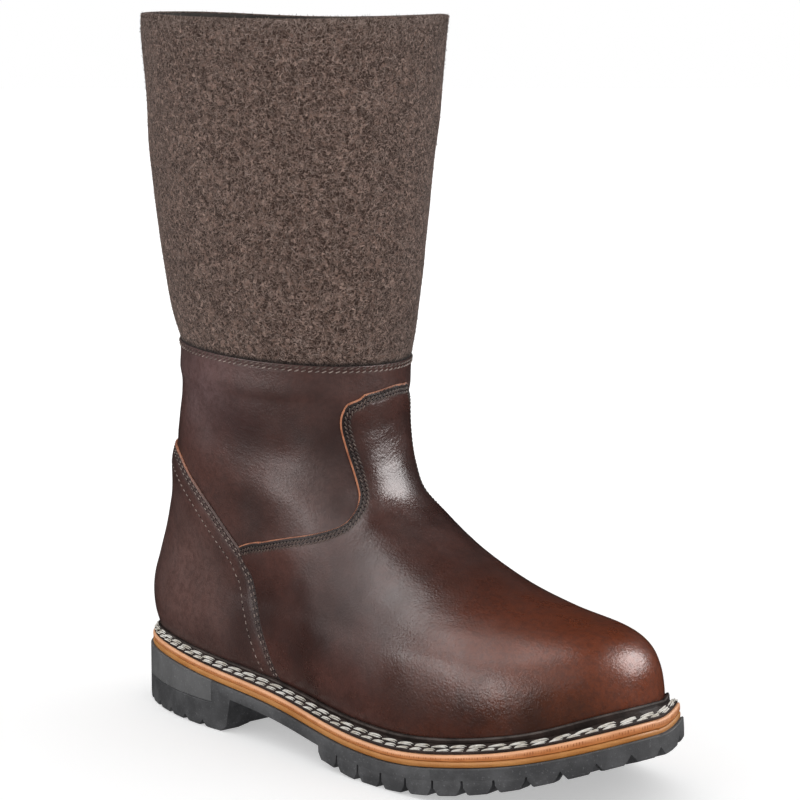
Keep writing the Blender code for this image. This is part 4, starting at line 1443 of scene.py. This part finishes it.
def make_quarters():
    """The leather upper as one wall, with its top edge lapped over the felt."""
    rows = np.concatenate([QUARTER_ROWS, top_row(BELOW_TOP)])
    angle, row = np.meshgrid(UPPER_COLUMNS, rows)
    points = surface(angle, row)
    below = (LEATHER_TOP_ROW - row) * SEAM_RISE
    lap = -top_press(angle, below)
    for stitched in FELT_SEAM_ROWS:
        lap -= FELT_SEAM_PRESS * np.exp(-((below - stitched) / FELT_SEAM_REACH) ** 2)
    outside = points + slopes(angle, row)[2] * (crease_height(points) + lap)[..., None]
    rim = [skin(UPPER_COLUMNS, top_row(b), -top_press(UPPER_COLUMNS, b) - d)
           for b, d in TOP_RIM]
    wall = [skin(UPPER_COLUMNS, r, -UPPER_WALL) for r in np.concatenate([[LEATHER_TOP_ROW], rows[::-2]])]
    shape = Shape()
    shape.loft(np.concatenate([outside, rim]))
    shape.loft(np.array([rim[-1], wall[0]]))
    shape.loft(np.array(wall), material=1)
    shape.loft(np.array([wall[-1], outside[0]]))
    far = np.full(shape.count, FAR_FROM_EDGE)
    shape.piece("quarters", [quarter_hide, dark_lining], "quarter_leather", ["upper"], from_edge=far)


def collar_height(angle):
    """How far the collar rises or dips round its rim: lower on the outer side."""
    turn = angle - COLLAR_PEAK
    return np.cos(2 * turn) + 0.3 * np.cos(turn) + 1.3 * np.exp(-((angle - COLLAR_BUMP) / 0.6) ** 2)


def felt_tuck(angle, row):
    """How far the felt draws in where it goes behind the leather."""
    above = (row - LEATHER_TOP_ROW) * SEAM_RISE
    return -FELT_TUCK * seam_pull(angle) * np.exp(-(above / FELT_TUCK_REACH) ** 2) - FELT_SINK


def wobble(angle, height):
    """A slow unevenness of the felt, from a few waves."""
    return sum(size * np.sin(turns * angle + rise * height + phase)
               for size, turns, rise, phase in FELT_WAVES)


def felt_skin(angle, row, offset):
    """The felt's surface: even at the seam, uneven above it, with a collar that isn't quite level."""
    points = skin(angle, row, offset)
    share = np.clip((row - SEAM_ROW) / (COLLAR_ROW - SEAM_ROW), 0.0, 1.0)
    loose = np.minimum(1.0, 6.0 * share) * wobble(angle, points[..., 2])
    points = points + loose[..., None] * slopes(angle, row)[2]
    points[..., 2] += collar_height(angle) * share ** 4
    return points


def make_shaft():
    """Felt tube with a rounded collar, tucked behind the leather at its hem, and a dark lining inside."""
    angle = UPPER_COLUMNS
    grid_angle, grid_row = np.meshgrid(angle, FELT_ROWS)
    outside = felt_skin(grid_angle, grid_row, felt_tuck(grid_angle, grid_row))
    hem_rings = [skin(angle, row, -UPPER_WALL - FELT_HEM_SINK) for row in FELT_HEM_ROWS]
    rim, inner = [], []
    for turn in np.linspace(0.0, math.pi, RIM_STEPS):
        row = np.full_like(angle, RIM_ROW + RIM_ROWS * math.sin(turn))
        rim.append(felt_skin(angle, row, -0.5 * FELT * (1 - math.cos(turn))))
    for row in LINING_ROWS:
        sink = LINING_SINK * min(1.0, LINING_FADE * (RIM_ROW - row))
        inner.append(felt_skin(angle, np.full_like(angle, row), -FELT - sink))
    shape = Shape()
    shape.loft(np.concatenate([hem_rings, outside, rim[1:]]))
    shape.loft(np.array([rim[-1]] + inner), material=1)
    shape.loft(np.array([inner[-1], hem_rings[0]]))
    rows = np.append((SEAM_ROW, SEAM_ROW), FELT_ROWS)
    above = np.full(shape.count, FAR_FROM_SEAM)
    above[:len(angle) * len(rows)] = np.repeat((rows - LEATHER_TOP_ROW) * SEAM_RISE, len(angle))
    shape.piece("felt_shaft", [wool, dark_lining], "grey_brown_felt", ["shaft"], above_seam=above)


def make_fibres():
    """Loose hairs that lie on the felt and stand out a little at its outline."""
    rng = np.random.default_rng(SEED)
    angle = rng.uniform(0.0, 2 * math.pi, FIBRE_COUNT)
    row = LEATHER_TOP_ROW + 0.03 + (COLLAR_ROW - 0.10 - LEATHER_TOP_ROW) * rng.uniform(0.0, 1.0, FIBRE_COUNT)
    length = rng.uniform(*FIBRE_LENGTH, FIBRE_COUNT)
    width = rng.uniform(*FIBRE_WIDTH, FIBRE_COUNT)
    lift = rng.uniform(*FIBRE_LIFT, FIBRE_COUNT) + STRAY_LIFT * rng.uniform(0.0, 1.0, FIBRE_COUNT) ** 8
    heading = rng.uniform(0.0, 2 * math.pi, FIBRE_COUNT)
    curl = rng.normal(0.0, FIBRE_CURL, FIBRE_COUNT)
    tone = rng.uniform(0.0, 1.0, FIBRE_COUNT) ** 1.4
    by_angle, by_row, normal = slopes(angle, row)
    across, upward = unit(by_angle), unit(by_row)
    base = felt_skin(angle, row, felt_tuck(angle, row))
    lines = []
    for f in (-0.5, 0.0, 0.5):
        turn = heading + curl * f
        step = np.cos(turn)[:, None] * across + np.sin(turn)[:, None] * upward
        height = lift * (0.15 + 0.85 * (1 - 4 * f * f)) + 0.35 * lift * (f > 0)
        middle = base + step * (length * f)[:, None] + normal * height[:, None]
        side = np.cross(normal, step) * (0.5 * width * (1.0 - 1.2 * abs(f)))[:, None]
        lines += [middle - side, middle + side]
    points = np.stack(lines, 1)
    corner = 6 * np.arange(FIBRE_COUNT)[:, None]
    faces = np.concatenate([corner + np.array([0, 1, 3, 2]), corner + np.array([2, 3, 5, 4])])
    shape = Shape()
    shape.add(points, faces)
    shape.piece("felt_fibres", [hair], "grey_brown_felt", tone=np.repeat(tone, 6))


def make_seam_stitches(counter, vamp):
    """Fine stitches along the overlays' edges and the felt seam, with painted shade at their holes."""
    threads, holes = Shape(), Shape()
    for edge, distances, thickness, row in ((vamp, VAMP_ROWS, VAMP_LEATHER, SEAM_FINE),
                                            (counter, COUNTER_ROWS, COUNTER_LEATHER, SEAM_DOTS)):
        material = 2 if edge is vamp else 0
        for k, distance in enumerate(distances):
            places = inset(edge, distance)
            points = surface(*places.T)
            kept = (places[:, 1] > WELT_LIP_ROW) & (nearest(points, surface(*edge.T)) > LINE_SHARE * distance)
            places, points = places[kept], points[kept]
            normal = slopes(*places.T)[2]
            height = OVERLAY_GAP + overlay_height(distance, thickness) - CHANNEL_DEPTH + crease_height(points)
            path = points + normal * height[:, None]
            add_stitches(threads, path, normal, row, 0.5 + 0.5 * (k % 2), material, holes)
    closed = np.append(UPPER_COLUMNS, 2 * math.pi)
    for k, below in enumerate(FELT_SEAM_ROWS):
        row = np.full_like(closed, float(top_row(below)))
        path = skin(closed, row, FELT_SEAM_PROUD - top_press(closed, below))
        add_stitches(threads, path, slopes(closed, row)[2], SEAM_FELT, 0.5, material=1 - k)
    threads.piece("seam_stitches", [beige_thread, brown_thread, vamp_thread], "quarter_leather")
    holes.piece("stitch_holes", [hole_dark], "quarter_leather")


def dress_insole():
    """The insole keeps its solid and takes a leather finish."""
    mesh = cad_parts["insole"].data
    mesh.materials.clear()
    mesh.materials.append(insole_leather("insole_hide"))


# Camera: the photo's viewing angle, for a square frame
CAMERA_PLACE = (1035.5, -840.5, 325.0)
CAMERA_TARGET = (152.5, 3.05, 152.0)
CAMERA_LENS = 127.96
CAMERA_RANGE = 50.0
SENSOR = 36.0


def aim(thing, place, target, turn=0.0):
    """A camera or light put at a place, facing a target and turned about its own axis."""
    thing.location = Vector(put(place)[0])
    thing.rotation_mode = "QUATERNION"
    facing = (Vector(put(target)[0]) - thing.location).to_track_quat("-Z", "Y")
    thing.rotation_quaternion = facing @ Quaternion((0.0, 0.0, 1.0), math.radians(turn))


def make_camera():
    data = bpy.data.cameras.new("photo_camera")
    data.sensor_width = SENSOR
    data.lens = CAMERA_LENS
    data.clip_end = CAMERA_RANGE
    camera = new_object("photo_camera", data)
    aim(camera, CAMERA_PLACE, CAMERA_TARGET)
    bpy.context.scene.camera = camera


# Studio lights: azimuth and elevation from the boot, distance, size, turn about the aim, and power
Softbox = namedtuple("Softbox", "name azimuth elevation distance width height turn power")
SOFTBOXES = (
    Softbox("right_softbox", 128.0, 36.0, 1700.0, 1450.0, 1080.0, 0.0, 68.0),
    Softbox("upper_left", -35.0, 56.0, 1800.0, 1150.0, 1150.0, 0.0, 21.0),
    Softbox("slant_strip", -19.0, 15.0, 1800.0, 1650.0, 480.0, -36.0, 19.0),
    Softbox("front_fill", 16.0, 28.0, 1900.0, 1400.0, 1150.0, 0.0, 5.0),
)
LIGHT_TARGET = (170.0, 0.0, 110.0)
SKY_STRENGTH = 0.85


def make_lights():
    """Softboxes that only the gloss sees, and an even white sky for the rest."""
    for box in SOFTBOXES:
        data = bpy.data.lights.new(box.name, "AREA")
        data.shape = "RECTANGLE"
        data.size, data.size_y = box.width * MM, box.height * MM
        data.energy = box.power
        light = new_object(box.name, data)
        light.visible_diffuse = False
        a, e = math.radians(box.azimuth), math.radians(box.elevation)
        direction = np.array([math.sin(a) * math.cos(e), -math.cos(a) * math.cos(e), math.sin(e)])
        aim(light, np.array(LIGHT_TARGET) + box.distance * direction, LIGHT_TARGET, box.turn)
    world = bpy.data.worlds.new("studio")
    bpy.context.scene.world = world
    world.use_nodes = True
    background = world.node_tree.nodes["Background"]
    background.inputs["Color"].default_value = (1.0, 1.0, 1.0, 1.0)
    background.inputs["Strength"].default_value = SKY_STRENGTH
    world.cycles_visibility.glossy = False
    bpy.context.scene.view_settings.view_transform = "Standard"


STAGE_RADIUS = 9.0
STAGE_SIDES = 64
DOME_LEVELS = np.linspace(-0.1, 0.5 * math.pi - 0.01, 16)


def make_stage():
    """A round pale floor, and a white dome behind it that only the camera sees."""
    turn = full_turn(STAGE_SIDES)
    circle = STAGE_RADIUS * np.column_stack([np.cos(turn), np.sin(turn), np.zeros(STAGE_SIDES)])
    floor, dome = Shape(), Shape()
    floor.add(circle, [range(STAGE_SIDES)])
    dome.loft([math.cos(a) * circle + (0.0, 0.0, STAGE_RADIUS * math.sin(a)) for a in DOME_LEVELS], flip=True)
    for name, shape, material in (("floor", floor, pale_floor("pale_floor")),
                                  ("backdrop", dome, white_backdrop("white_backdrop"))):
        mesh = bpy.data.meshes.new(name)
        mesh.from_pydata(shape.points[0].tolist(), [], shape.faces)
        mesh.materials.append(material)
        piece = new_object(name, mesh)
        piece.visible_glossy = False
        piece.visible_diffuse = name == "floor"
        piece.visible_shadow = name == "floor"


make_camera()
make_lights()
make_stage()
make_outsole()
make_heel()
make_heel_lift()
make_midsoles()
make_welt_stitches(*make_welt())
make_quarters()
make_seam_stitches(*make_overlays())
make_shaft()
make_fibres()
dress_insole()
